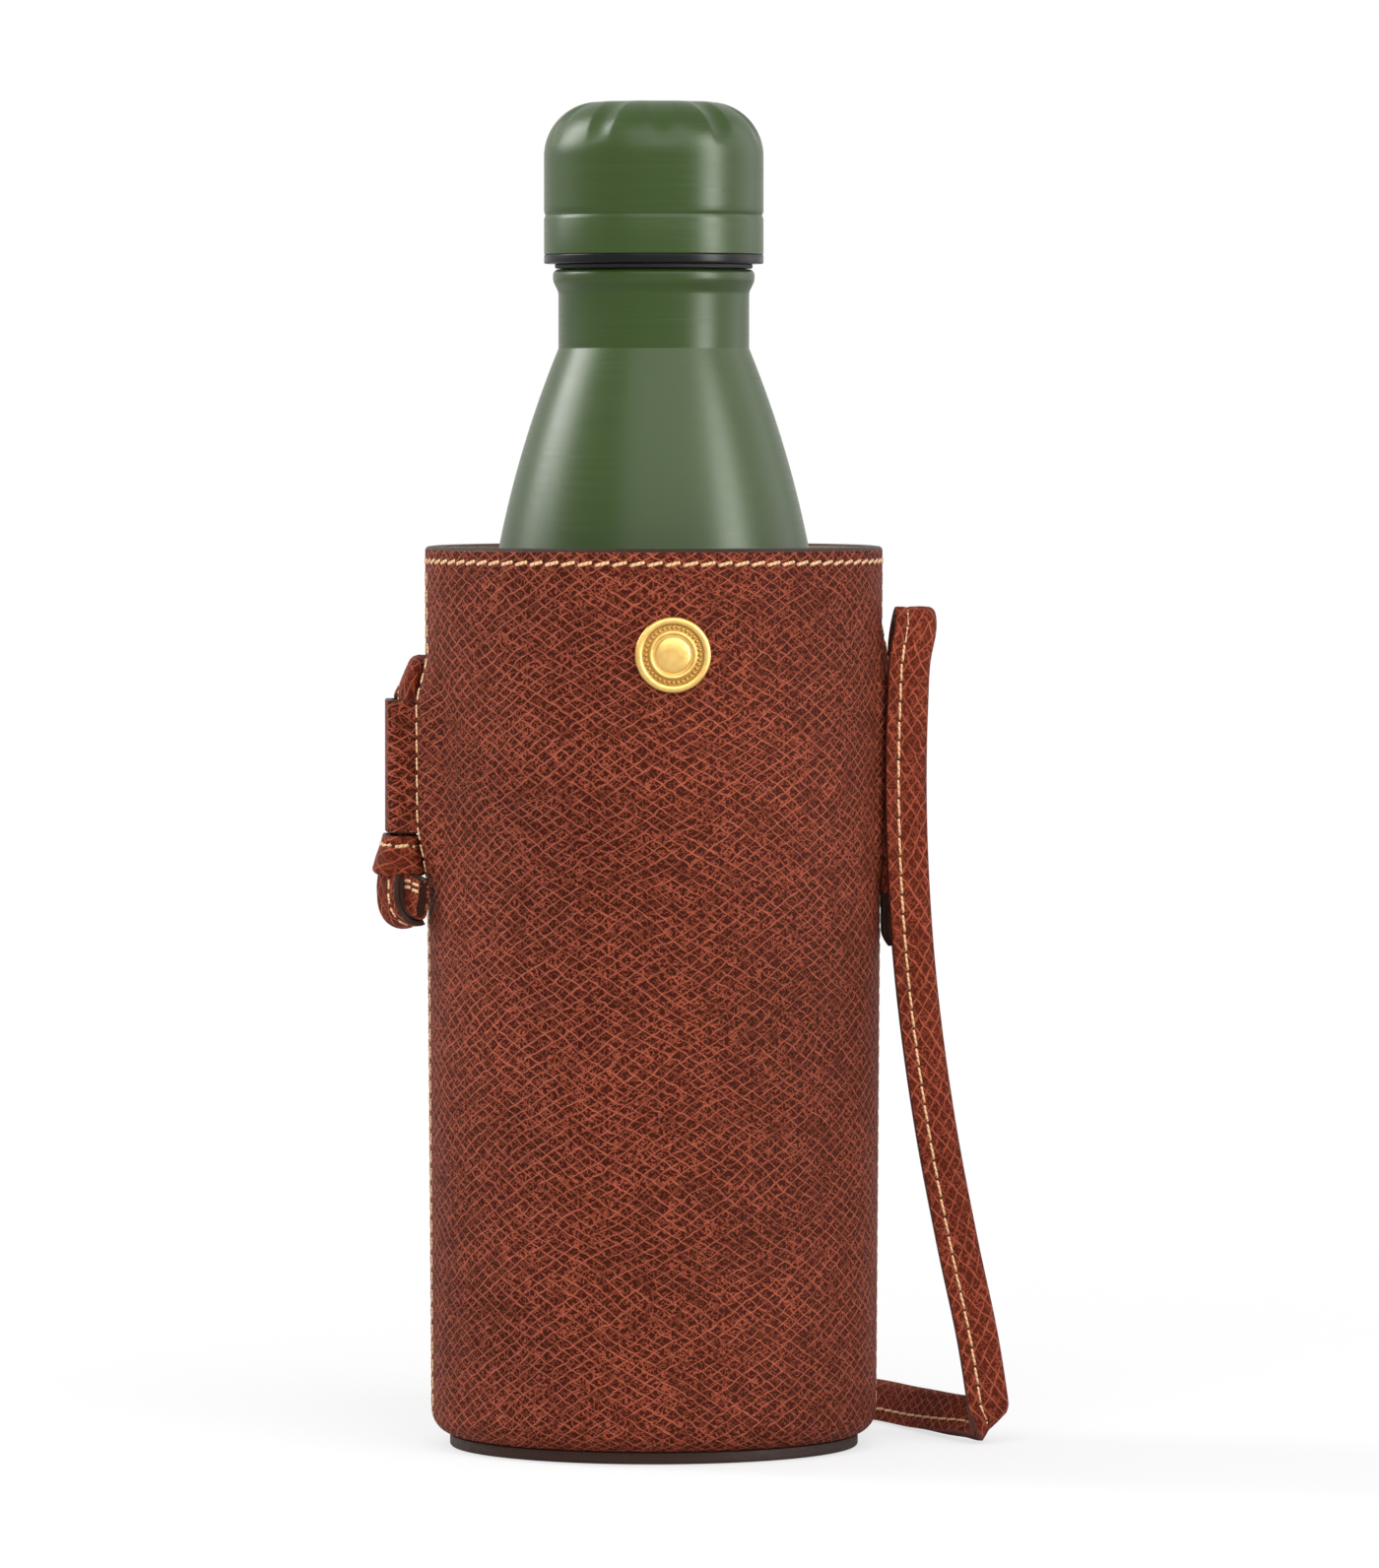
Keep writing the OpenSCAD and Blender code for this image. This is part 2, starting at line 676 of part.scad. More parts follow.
// Painted cap with a groove near its lower edge and shallow flutes over its rounded top edge
module cap_shell() {
    groove_mid_z = cap_z + groove_z;
    flute_out = cap_round_r + flute_r - flute_depth;
    flute_l = 4 * cap_round_r;
    color("darkolivegreen")
        difference() {
            rotate_extrude()
                difference() {
                    cap_section(0, cap_z);
                    cap_section(cap_wall, cap_z - reach);
                    polygon([[cap_r - groove_d, groove_mid_z],
                        [cap_r + groove_d, groove_mid_z - groove_w],
                        [cap_r + groove_d, groove_mid_z + groove_w]]);
                }
            for (i = [0:flute_count - 1])
                rotate([0, 0, flute_turn + 360 * i / flute_count])
                    translate([cap_r - cap_round_r, 0, cap_top_z - cap_round_r])
                        rotate([0, 45, 0])
                            translate([0, 0, flute_out])
                                rotate([0, 90, 0])
                                    cylinder(r = flute_r, h = flute_l, center = true);
        }
}

spigot_r = cap_r - cap_wall - layer_gap;
plug_bore_r = plug_r - plug_wall;

// Black collar under the cap, with the ring that the cap is pushed on
module cap_collar() {
    color([0.1, 0.1, 0.12])
        rotate_extrude()
            polygon([[plug_bore_r, collar_z], [cap_r, collar_z], [cap_r, cap_z], [spigot_r, cap_z],
                [spigot_r, cap_z + spigot_h], [spigot_r - spigot_wall, cap_z + spigot_h],
                [spigot_r - spigot_wall, cap_z], [plug_bore_r, cap_z]]);
}

// Hollow screw plug that hangs from the collar into the mouth
module cap_plug() {
    color([0.1, 0.1, 0.12])
        translate([0, 0, collar_z - plug_h])
            difference() {
                cylinder(r = plug_r, h = plug_h);
                translate([0, 0, plug_wall])
                    cylinder(r = plug_bore_r, h = plug_h);
            }
}

// Insulation that fills the plug and the ring on the collar
module cap_foam() {
    low_z = collar_z - plug_h + plug_wall + layer_gap;
    step_z = cap_z + layer_gap;
    top_z = cap_z + spigot_h;
    core_r = plug_bore_r - layer_gap;
    head_r = spigot_r - spigot_wall - layer_gap;
    color("ivory")
        rotate_extrude()
            polygon([[0, low_z], [core_r, low_z], [core_r, step_z], [head_r, step_z],
                [head_r, top_z], [0, top_z]]);
}

module cap_seal() {
    color([0.05, 0.05, 0.06])
        rotate_extrude()
            translate([plug_r + seal_play, seal_z])
                square([bead_r - seal_inset - plug_r - seal_play, seal_t]);
}

case_front_panel();
case_back_panel();
case_stiffener();
case_lining();
case_insole();
case_sole();
stud_head();
stud_washer();
side_patch_left();
side_patch_right();
strap_keeper_left();
strap_keeper_right();
strap();
strap_knot_left();
strap_knot_right();
strap_tail_left();
strap_tail_right();
bottle_shell();
bottle_liner();
bottle_base();
vacuum_plug();
cap_shell();
cap_collar();
cap_plug();
cap_foam();
cap_seal();
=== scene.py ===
# %% [markdown]
# # A painted steel bottle in a leather carrier
# This lesson dresses a finished CAD model of a bottle that stands in a round leather carrier.
# The CAD model is loaded first as a fixed frame, in metres. Every piece made below rides on one
# of its bodies, so the bottle can still be lifted out and its cap can still be unscrewed.

# %% Load the frame
import math
from bisect import bisect_right

import bmesh
import bpy
from mathutils import Matrix, Vector


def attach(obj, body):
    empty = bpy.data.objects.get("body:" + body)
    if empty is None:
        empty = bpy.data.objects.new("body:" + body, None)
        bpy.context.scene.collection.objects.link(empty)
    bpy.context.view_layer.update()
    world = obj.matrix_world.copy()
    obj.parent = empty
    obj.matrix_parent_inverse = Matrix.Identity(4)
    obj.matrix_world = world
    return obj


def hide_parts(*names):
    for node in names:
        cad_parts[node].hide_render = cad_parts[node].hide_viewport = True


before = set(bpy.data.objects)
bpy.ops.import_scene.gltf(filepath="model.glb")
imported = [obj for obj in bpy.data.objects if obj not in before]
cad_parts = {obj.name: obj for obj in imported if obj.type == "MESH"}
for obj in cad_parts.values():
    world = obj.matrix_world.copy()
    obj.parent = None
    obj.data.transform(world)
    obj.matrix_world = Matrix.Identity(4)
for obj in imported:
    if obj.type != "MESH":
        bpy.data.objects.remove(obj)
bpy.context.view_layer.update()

MM = 0.001

# %% [markdown]
# ## The camera
# A product photographer stands well back with a long lens, so that the sides of a cylinder stay
# parallel. The camera could be set by eye, but here its place comes from the picture: the rim of
# the carrier is seen almost edge on, so the lens is just above it, a little to the left. `show`
# puts an object in the scene, and `point` places it and turns it to its target.

# %% Camera
EYE = Vector((-0.172, -2.093, 0.213))
AIM = Vector((0.0072, -0.0006, 0.1341))


def show(name, data):
    thing = bpy.data.objects.new(name, data)
    bpy.context.scene.collection.objects.link(thing)
    return thing


def point(thing, place, target):
    thing.location = place
    thing.rotation_euler = (Vector(target) - Vector(place)).to_track_quat("-Z", "Y").to_euler()


lens = bpy.data.cameras.new("camera")
lens.sensor_fit = "VERTICAL"
lens.sensor_height = lens.sensor_width = 36
lens.lens = 238.1
camera = show("camera", lens)
point(camera, EYE, AIM)
bpy.context.scene.camera = camera
print("camera", round((AIM - EYE).length, 3), "m from the carrier")

# %% [markdown]
# ## Helpers for making pieces
# All shapes are drawn in millimetres, as a maker would, and scaled to metres when they are kept.
# `keep` turns a bmesh into an object, shades it smooth with crisp corners, and says which body it
# rides on, which finish it has and which CAD solid it stands for.


# %% Keep a piece
def as_mesh(bm, name):
    mesh = bpy.data.meshes.new(name)
    bm.to_mesh(mesh)
    bm.free()
    return mesh


def keep(bm, name, materials, body, nodes=(), sharp=38):
    bmesh.ops.scale(bm, vec=(MM, MM, MM), verts=bm.verts)
    mesh = as_mesh(bm, name)
    for material in materials:
        mesh.materials.append(material)
    mesh.shade_smooth()
    mesh.set_sharp_from_angle(angle=math.radians(sharp))
    piece = show(name, mesh)
    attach(piece, body)
    if nodes:
        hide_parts(*nodes)
    print(name, len(mesh.polygons), "faces")
    return piece


# %% [markdown]
# A lathe makes most of the metal parts here, and Blender's spin does the same: an outline is
# drawn on one side of the axis and turned round it. An outline that ends on the axis closes by
# itself, and one that is closed becomes a ring. `arc` gives the points of a rounded corner, and
# `closed_up` welds a shape, fills its open ends and turns its faces outwards.


# %% Turned shapes
def arc(centre, radius, start, end, steps=8):
    turns = [math.radians(start + (end - start) * i / steps) for i in range(steps + 1)]
    return [(centre[0] + radius * math.cos(a), centre[1] + radius * math.sin(a)) for a in turns]


def closed_up(bm):
    bmesh.ops.remove_doubles(bm, verts=bm.verts, dist=1e-4)
    open_edges = [edge for edge in bm.edges if edge.is_boundary]
    caps = bmesh.ops.holes_fill(bm, edges=open_edges, sides=0)["faces"] if open_edges else []
    bmesh.ops.recalc_face_normals(bm, faces=bm.faces)
    return caps


def spun(outline, closed=False, steps=160, angle=math.tau):
    bm = bmesh.new()
    verts = [bm.verts.new((r, 0, z)) for r, z in outline]
    ends = verts[1:] + verts[:1] if closed else verts[1:]
    edges = [bm.edges.new(pair) for pair in zip(verts, ends)]
    bmesh.ops.spin(bm, geom=verts + edges, cent=(0, 0, 0), axis=(0, 0, 1), angle=angle,
                   steps=steps, use_merge=angle == math.tau)
    closed_up(bm)
    return bm


# %% [markdown]
# Straps, keepers and screw threads are all one section carried along a path. A grid has exactly
# the right connections for that: its rows become stations along the path, its columns go round
# the section, and merging the first and last column closes the tube. The grid also carries a UV
# map in millimetres, along the path and round the section, which the leather grain follows.


# %% Shapes carried along a path
def stations(path, widths, sizes=None):
    made = []
    for i, place in enumerate(path):
        ahead = (path[min(i + 1, len(path) - 1)] - path[max(i - 1, 0)]).normalized()
        wide = (widths[i] - ahead * widths[i].dot(ahead)).normalized()
        made.append((place, wide, ahead.cross(wide), sizes[i] if sizes else 1))
    return made


def running_length(points):
    total = [0.0]
    for a, b in zip(points, points[1:]):
        total.append(total[-1] + (b - a).length)
    return total


def new_shape():
    bm = bmesh.new()
    return bm, bm.loops.layers.uv.new("surface")


def swept(stops, section, raw_columns=(), open_end=False):
    rows, columns = len(stops), len(section)
    run = running_length([stop[0] for stop in stops])
    girth = running_length([Vector(point) for point in section + section[:1]])
    bm, surface = new_shape()
    bmesh.ops.create_grid(bm, x_segments=rows - 1, y_segments=columns, size=1)
    spot = {}
    for vert in bm.verts:
        i = round((vert.co.x + 1) / 2 * (rows - 1))
        j = round((vert.co.y + 1) / 2 * columns)
        spot[vert] = i, j
        place, wide, thick, size = stops[i]
        across, out = section[j % columns]
        vert.co = place + (wide * across + thick * out) * size
    for face in bm.faces:
        for loop in face.loops:
            i, j = spot[loop.vert]
            loop[surface].uv = run[i], girth[j]
        face.material_index = int(min(spot[v][1] for v in face.verts) in raw_columns)
    caps = closed_up(bm)
    for face in caps:
        face.material_index = 1 if raw_columns else 0
    if open_end:
        for face in bmesh.ops.inset_individual(bm, faces=caps, thickness=0.4, depth=-0.4)["faces"]:
            face.material_index = 0
    return bm


def merge(whole, part):
    mesh = as_mesh(part, "part")
    whole.from_mesh(mesh)
    bpy.data.meshes.remove(mesh)


# %% [markdown]
# ## Shorthand for materials
# Materials are graphs of nodes. `put` adds one node and joins its inputs, `calc` is one step of
# arithmetic, `mix_colour` fades between two colours, and `shade` turns a colour as it is seen on
# a screen into the linear numbers that Blender works with. A socket knows the graph it is in, so
# most of these need only a socket. `finished` joins a colour, a roughness and a bump to the
# material's shader.


# %% Node shorthand
def shade(red, green, blue):
    seen = [value / 255 for value in (red, green, blue)]
    return tuple(v / 12.92 if v <= 0.04045 else ((v + 0.055) / 1.055) ** 2.4 for v in seen) + (1,)


def put(tree, kind, inputs=None, **settings):
    made = tree.nodes.new("ShaderNode" + kind)
    for name, value in settings.items():
        setattr(made, name, value)
    for key, value in (inputs or {}).items():
        if isinstance(value, bpy.types.NodeSocket):
            tree.links.new(value, made.inputs[key])
        else:
            made.inputs[key].default_value = value
    return made


def calc(operation, a, b=0.0):
    return put(a.id_data, "Math", {0: a, 1: b}, operation=operation).outputs[0]


def plus(a, b):
    return calc("ADD", a, b)


def times(a, b):
    return calc("MULTIPLY", a, b)


def fade(value, low, high, to_low=0.0, to_high=1.0):
    limits = {"Value": value, 1: low, 2: high, 3: to_low, 4: to_high}
    return put(value.id_data, "MapRange", limits, interpolation_type="SMOOTHSTEP").outputs[0]


def mix_colour(factor, a, b):
    return put(factor.id_data, "Mix", {0: factor, 6: a, 7: b}, data_type="RGBA").outputs[2]


def noise(place, scale, detail=2.0, seed=0.0):
    settings = {"Vector": place, "W": seed, "Scale": scale, "Detail": detail}
    return put(place.id_data, "TexNoise", settings, noise_dimensions="4D").outputs["Fac"]


def new_group(name, inputs, outputs):
    tree = bpy.data.node_groups.new(name, "ShaderNodeTree")
    for label, kind in inputs.items():
        tree.interface.new_socket(label, in_out="INPUT", socket_type="NodeSocket" + kind)
    for label, kind in outputs.items():
        tree.interface.new_socket(label, in_out="OUTPUT", socket_type="NodeSocket" + kind)
    return tree, tree.nodes.new("NodeGroupInput").outputs, tree.nodes.new("NodeGroupOutput").inputs


def join(tree, inputs, sources):
    for label, source in sources.items():
        tree.links.new(source, inputs[label])


def new_material(name, **constants):
    material = bpy.data.materials.new(name)
    material.use_nodes = True
    shader = material.node_tree.nodes["Principled BSDF"]
    for label, value in constants.items():
        shader.inputs[label.replace("_", " ")].default_value = value
    return material, material.node_tree


def finished(material, colour, rough, height, strength, distance):
    tree = material.node_tree
    bump = put(tree, "Bump", {"Strength": strength, "Distance": distance, "Height": height})
    join(tree, tree.nodes["Principled BSDF"].inputs,
         {"Base Color": colour, "Roughness": rough, "Normal": bump.outputs[0]})
    return material


def object_place(tree):
    return put(tree, "TexCoord").outputs["Object"]


def surface_place(tree):
    return put(tree, "UVMap", uv_map="surface").outputs["UV"]


# %% [markdown]
# ## Leather with a crossed grain
# The hide is pressed between rollers, which leaves two families of fine raised lines that cross
# in lozenges, with small creases in the hollows. An image could show that, but it would stretch
# and repeat. Here each family is a saw wave across the surface, bent a little by noise and worn
# away in places, and a crease is the thin curve along which a finer noise passes its middle value.
# The group puts out masks and a height, and each leather mixes its own colours with them.

# %% Cross grain group
LINE_SLOPE = math.radians(33)
GRAIN_HEIGHT = 0.00035


def cross_grain_group():
    tree, given, result = new_group(
        "cross_grain", {"Place": "Vector", "Spacing": "Float"},
        {"Ridges": "Float", "Creases": "Float", "Height": "Float"})
    place = given["Place"]
    x, y, _ = put(tree, "SeparateXYZ", {0: place}).outputs

    def family(lean, seed):
        over = plus(times(x, lean * math.sin(LINE_SLOPE)), times(y, math.cos(LINE_SLOPE)))
        slow = times(noise(place, 0.05, 1.0, seed), 4.5)
        quick = times(noise(place, 0.45, 1.0, seed + 7), 1.15)
        bent = plus(over, plus(slow, quick))
        wave = calc("FRACT", calc("DIVIDE", bent, given["Spacing"]))
        peak = times(calc("ABSOLUTE", calc("SUBTRACT", wave, 0.5)), 2.0)
        worn = fade(noise(place, 0.25, 1.0, seed + 13), 0.38, 0.54, 0.3, 1.0)
        return times(fade(peak, 0.71, 0.96), worn)

    ridges = calc("MAXIMUM", family(1, 1.0), family(-1, 4.0))
    curl = calc("SUBTRACT", noise(place, 0.9, 1.0, 21.0), 0.5)
    patchy = fade(noise(place, 0.3, 1.0, 29.0), 0.4, 0.56, 0.45, 1.0)
    creases = times(patchy, fade(calc("ABSOLUTE", curl), 0.01, 0.07, 1.0, 0.0))
    height = plus(ridges, times(creases, 0.45))
    join(tree, result, {"Ridges": ridges, "Creases": creases, "Height": height})
    return tree


CROSS_GRAIN = cross_grain_group()


def leather(name, hollow, skin, ridge, spacing, relief, roughness):
    material, tree = new_material(name, Specular_IOR_Level=0.04)
    grain = put(tree, "Group", {"Place": surface_place(tree), "Spacing": spacing},
                node_tree=CROSS_GRAIN).outputs
    colour = mix_colour(grain["Creases"], hollow, skin)
    colour = mix_colour(times(grain["Ridges"], 0.85), colour, ridge)
    cloud = fade(noise(object_place(tree), 28.0), 0.3, 0.7, 0.86, 1.1)
    grey = put(tree, "CombineColor", {0: cloud, 1: cloud, 2: cloud}).outputs[0]
    colour = put(tree, "Mix", {0: 1.0, 6: colour, 7: grey}, data_type="RGBA",
                 blend_type="MULTIPLY").outputs[2]
    gloss = fade(grain["Height"], 0.0, 1.0, roughness + 0.1, roughness - 0.06)
    return finished(material, colour, gloss, grain["Height"], relief, GRAIN_HEIGHT)


carrier_leather = leather("carrier_leather", shade(64, 23, 13), shade(150, 72, 51),
                          shade(181, 94, 70), 2.05, 1.0, 0.56)
strap_leather = leather("strap_leather", shade(84, 31, 18), shade(140, 63, 43),
                        shade(176, 88, 63), 2.1, 0.7, 0.54)
print("leathers:", carrier_leather.name, strap_leather.name)

# %% [markdown]
# A cut edge of leather is painted dark and burnished, and under the paint its fibres still show
# as fine grit. On the strap the paint is nearly the colour of the hide. The thread is waxed linen:
# its ply twists round it, which is drawn on the stitch's own UV map as slanting bands, and the
# grooves between the plies are painted darker as painted shade.


# %% Edge paint and thread
def painted_edge(name, dark, pale):
    material, tree = new_material(name, Specular_IOR_Level=0.15)
    grit = noise(object_place(tree), 900.0, 3.0)
    rough = fade(grit, 0.2, 0.8, 0.42, 0.62)
    return finished(material, mix_colour(grit, dark, pale), rough, grit, 0.35, 0.0002)


def linen_thread():
    material, tree = new_material("linen_thread")
    along, around, _ = put(tree, "SeparateXYZ", {0: surface_place(tree)}).outputs
    ply = calc("FRACT", plus(times(along, 3.0), around))
    rise = calc("SINE", times(ply, math.pi))
    soil = noise(object_place(tree), 120.0)
    linen = mix_colour(soil, shade(222, 172, 122), shade(242, 204, 154))
    # the darker colour in the grooves between the plies is painted shade
    colour = mix_colour(fade(rise, 0.0, 0.6), shade(168, 116, 76), linen)
    return finished(material, colour, fade(soil, 0.2, 0.8, 0.5, 0.7), rise, 0.7, 0.00015)


edge_paint = painted_edge("edge_paint", shade(36, 21, 17), shade(66, 43, 35))
strap_edge = painted_edge("strap_edge", shade(74, 35, 26), shade(116, 60, 45))
thread = linen_thread()
print("edges and thread:", edge_paint.name, strap_edge.name, thread.name)

# %% [markdown]
# ## The strap
# The strap is one strip of hide, folded lengthwise and sewn shut along its open side, so one edge
# is a soft fold and the other shows two raw layers. It hangs from a knot on the left, drops
# behind the carrier, lies on the floor in two bends and comes up again to the knot on the right.
# The route's points are the CAD model's own, turned a little where the strap leaves the left
# keeper, so that it leans on the wall. A smooth curve through them is cut into short stations, and
# the folded section is carried along it.

# %% Strap route
FLAT = (0, 0, -1)
STRAP_ROUTE = [
    ((-50, 0, 117), (0, 1, 0)), ((-50, 0, 124), (0, 1, 0)), ((-50, 0, 149), (0, 1, 0)),
    ((-49.9, 0.2, 153), (-0.1, 1, -0.15)), ((-49.2, 3.7, 155.2), (-0.32, 0.67, -0.67)),
    ((-48, 10.5, 156), (-0.22, 0.3, -0.95)), ((-44.3, 20.5, 155), (-0.1, 0, -1)),
    ((-39.2, 32, 148.5), (0.25, -0.4, -0.8)), ((-36, 44, 130), (0.8, -0.3, -0.4)),
    ((-34, 56, 97), (1, 0, 0)), ((-34, 89, 25), (0.7, -0.3, -0.7)),
    ((-26, 110, 6), FLAT), ((-6, 118, 4.4), FLAT), ((28, 118, 4.4), FLAT), ((43, 103, 4.4), FLAT),
    ((28, 88, 4.4), FLAT), ((-14, 88, 4.4), FLAT), ((-29, 73, 4.4), FLAT), ((-14, 58, 4.4), FLAT),
    ((22, 58, 4.4), FLAT), ((46, 50, 4.4), FLAT), ((57, 25, 4.4), (-0.15, 0, -1)),
    ((62, 10.5, 4.6), (-0.35, -0.1, -0.9)), ((65, 4, 4.7), (-0.45, -0.2, -0.85)),
    ((67.5, -2, 4.6), (-0.5, -0.25, -0.85)), ((68, -3.9, 5), (-0.7, -0.35, -0.6)),
    ((67.9, -5.4, 6.3), (-0.9, -0.3, -0.35)), ((67.6, -6, 8.1), (-1, 0, -0.15)),
    ((65.7, -6.6, 20), (-1, 0, -0.15)), ((61.2, -7.4, 41), (-1, 0, -0.15)),
    ((56.5, -8.8, 65), (-1, 0, -0.1)), ((51.3, -11.8, 105), (-1, 0, 0)),
    ((50.5, -11, 150), (-1, 0, 0)), ((51.1, -10.6, 160), (-1, 0, 0)), ((52.4, -9, 166), (-1, 0, 0)),
    ((52.6, -5.5, 168.4), (-1, 0, 0)), ((52.4, -2, 166), (-1, -0.2, 0)),
    ((51.6, -0.4, 161), (-0.8, -0.6, 0)), ((50.5, 0, 156), (-0.3, -0.95, 0)),
    ((50, 0, 151), (0, -1, 0)), ((50, 0, 124), (0, -1, 0)), ((50, 0, 117), (0, -1, 0)),
]
STRAP_STEP = 1.5


def smooth_route(route, step):
    points = [Vector(point) for point, _ in route]
    edges = [Vector(edge) for _, edge in route]
    slopes = []
    for i, point in enumerate(points):
        back = point - points[i - 1] if i else points[1] - point
        ahead = points[i + 1] - point if i + 1 < len(points) else back
        reach = back.length + ahead.length
        slopes.append((back.normalized() * ahead.length + ahead.normalized() * back.length) / reach)
    path, widths = [], []
    for i in range(len(points) - 1):
        span = (points[i + 1] - points[i]).length
        count = max(2, round(span / step))
        for k in range(count):
            s = k / count
            ends = (2 * s**3 - 3 * s**2 + 1) * points[i] + (3 * s**2 - 2 * s**3) * points[i + 1]
            bends = (s**3 - 2 * s**2 + s) * slopes[i] + (s**3 - s**2) * slopes[i + 1]
            path.append(ends + span * bends)
            widths.append(edges[i].lerp(edges[i + 1], s))
    return path + [points[-1]], widths + [edges[-1]]


strap_path, strap_widths = smooth_route(STRAP_ROUTE, STRAP_STEP)

# %% [markdown]
# The section of the folded strap runs once round: the raw side with a small gap between its two
# layers, the upper face with a dent where the stitches pull it down, the round fold, and the
# lower face. The raw columns get the edge paint.

# %% Strap band
STRAP_W = 8.4
STRAP_T = 3.4
SEAM = 0.2 * STRAP_W


def folded_section(width, thickness, seam):
    half, deep = width / 2, thickness / 2
    raw = [(half - 0.12, -deep + 0.05), (half, -deep + 0.3), (half, -0.22), (half - 0.35, 0),
           (half, 0.22), (half, deep - 0.3), (half - 0.12, deep - 0.05)]
    upper = [(half - 0.5, deep), (seam + 0.6, deep), (seam, deep - 0.16), (seam - 0.6, deep),
             (0.25 - half / 4, deep + 0.08), (deep - half, deep)]
    fold = arc((deep - half, 0), deep, 90, 270, 8)[1:-1]
    lower = [(across, -out) for across, out in reversed(upper)]
    return raw + upper + fold + lower


RAW_COLUMNS = tuple(range(6))
STRAP_SECTION = folded_section(STRAP_W, STRAP_T, SEAM)
strap_stops = stations(strap_path, strap_widths)
strap_band = keep(swept(strap_stops, STRAP_SECTION, RAW_COLUMNS), "strap_band",
                  [strap_leather, strap_edge], "case", ["strap"])

# %% [markdown]
# ## Stitches
# Each stitch is a short length of thread whose ends dive into the leather. Between one stitch and
# the next lies a small flat disc in the dark edge paint, which is painted shade for the hole the
# thread goes through. A texture could fake a dashed line, but real stitches catch the light and
# throw small shadows. One little capsule is enough: a sphere whose two halves are pulled apart and
# bent down at the ends. Its points follow the seam, so that a stitch bends where the leather bends.
# Hundreds are needed, so each has few faces.


# %% Stitch rows
STITCH_PITCH = 3.55


def one_stitch(bm, surface, frame_at, middle, length, slant, radius):
    half = length / 2
    made = bmesh.ops.create_uvsphere(bm, u_segments=6, v_segments=5, radius=radius)["verts"]
    for vert in made:
        vert.co.z += math.copysign(half - radius, vert.co.z)
    for face in {face for vert in made for face in vert.link_faces}:
        for loop in face.loops:
            x, y, z = loop.vert.co
            loop[surface].uv = z / length, math.atan2(y, x) / math.tau
    lean = Matrix.Rotation(slant, 3, "Y")
    for vert in made:
        vert.co.y += radius * (0.5 - 1.1 * (vert.co.z / half) ** 2)
        x, y, z = lean @ vert.co
        vert.co = frame_at(middle + z) @ Vector((x, y, 0))


# the hole is a flat disc in the dark edge paint: painted shade for the hole the thread goes through
def hole_shade_disc(bm, place, radius):
    flat = place @ Matrix.Diagonal((0.9, 0.25, 0.9, 1))
    made = bmesh.ops.create_icosphere(bm, subdivisions=1, radius=radius, matrix=flat)["verts"]
    for face in {face for vert in made for face in vert.link_faces}:
        face.material_index = 1


def stitch_row(spots, pitch=STITCH_PITCH, slant=0.12, gap=0.6, radius=0.4):
    run = running_length([spot for spot, _ in spots])
    count = max(1, round(run[-1] / pitch))
    step = run[-1] / count

    def frame_at(distance):
        i = min(bisect_right(run, distance), len(run) - 1) - 1
        share = (distance - run[i]) / (run[i + 1] - run[i])
        place = spots[i][0].lerp(spots[i + 1][0], share)
        ahead = (spots[i + 1][0] - spots[i][0]).normalized()
        out = spots[i][1].lerp(spots[i + 1][1], share)
        out = (out - ahead * out.dot(ahead)).normalized()
        turn = Matrix((out.cross(ahead), out, ahead)).transposed()
        return Matrix.Translation(place) @ turn.to_4x4()

    bm, surface = new_shape()
    for k in range(count):
        one_stitch(bm, surface, frame_at, (k + 0.5) * step, step - gap, slant, radius)
        hole_shade_disc(bm, frame_at(k * step), radius)
    return bm


def stitches(name, rows, slot="strap_leather", **look):
    bm, _ = new_shape()
    for row in rows:
        merge(bm, stitch_row(row, **look))
    # the edge paint colours the hole discs here, as painted shade
    return keep(bm, name, [thread, edge_paint], "case", sharp=60)


strap_rows = [[(place + wide * SEAM + thick * face * (STRAP_T / 2 - 0.12), thick * face)
               for place, wide, thick, _ in strap_stops] for face in (1, -1)]
strap_stitches = stitches("strap_stitches", strap_rows, pitch=3.9, slant=0.05, gap=0.3, radius=0.29)

# %% [markdown]
# ## The carrier's wall
# The wall is a front and a back panel of hide over a stiff board, sewn together down both sides,
# and the hide is rolled in under the floor. Each panel is half of a turned shape: its section is
# spun through half a circle. The UV map unrolls the wall in millimetres, so that the grain runs
# round it without stretching, and the front panel lies further along it, on other grain.

# %% Wall panels
RIM_R, FOOT_R, RIM_Z = 46.3, 45.1, 182.0
ROLL_R, SOLE_T = 5.0, 2.4
LEATHER_T = 1.6
ROLL_CENTRE = (FOOT_R - ROLL_R, SOLE_T + ROLL_R)
TURN_IN_R = 31.1
FRONT_GRAIN = 200


def wall_r(z):
    above = z - ROLL_CENTRE[1]
    if above < 0:
        return ROLL_CENTRE[0] + math.sqrt(ROLL_R ** 2 - above ** 2)
    return FOOT_R + (RIM_R - FOOT_R) * above / (RIM_Z - ROLL_CENTRE[1])


def panel_outline():
    inner_roll = ROLL_R - LEATHER_T
    levels = [ROLL_CENTRE[1] + (RIM_Z - 0.5 - ROLL_CENTRE[1]) * i / 24 for i in range(1, 25)]
    return ([(TURN_IN_R, SOLE_T)] + arc(ROLL_CENTRE, ROLL_R, -90, 0, 10)
            + [(wall_r(z), z) for z in levels]
            + arc((RIM_R - 0.5, RIM_Z - 0.5), 0.5, 20, 90, 4)
            + [(RIM_R - LEATHER_T, RIM_Z)] + arc(ROLL_CENTRE, inner_roll, 0, -90, 6)
            + [(TURN_IN_R, SOLE_T + LEATHER_T)])


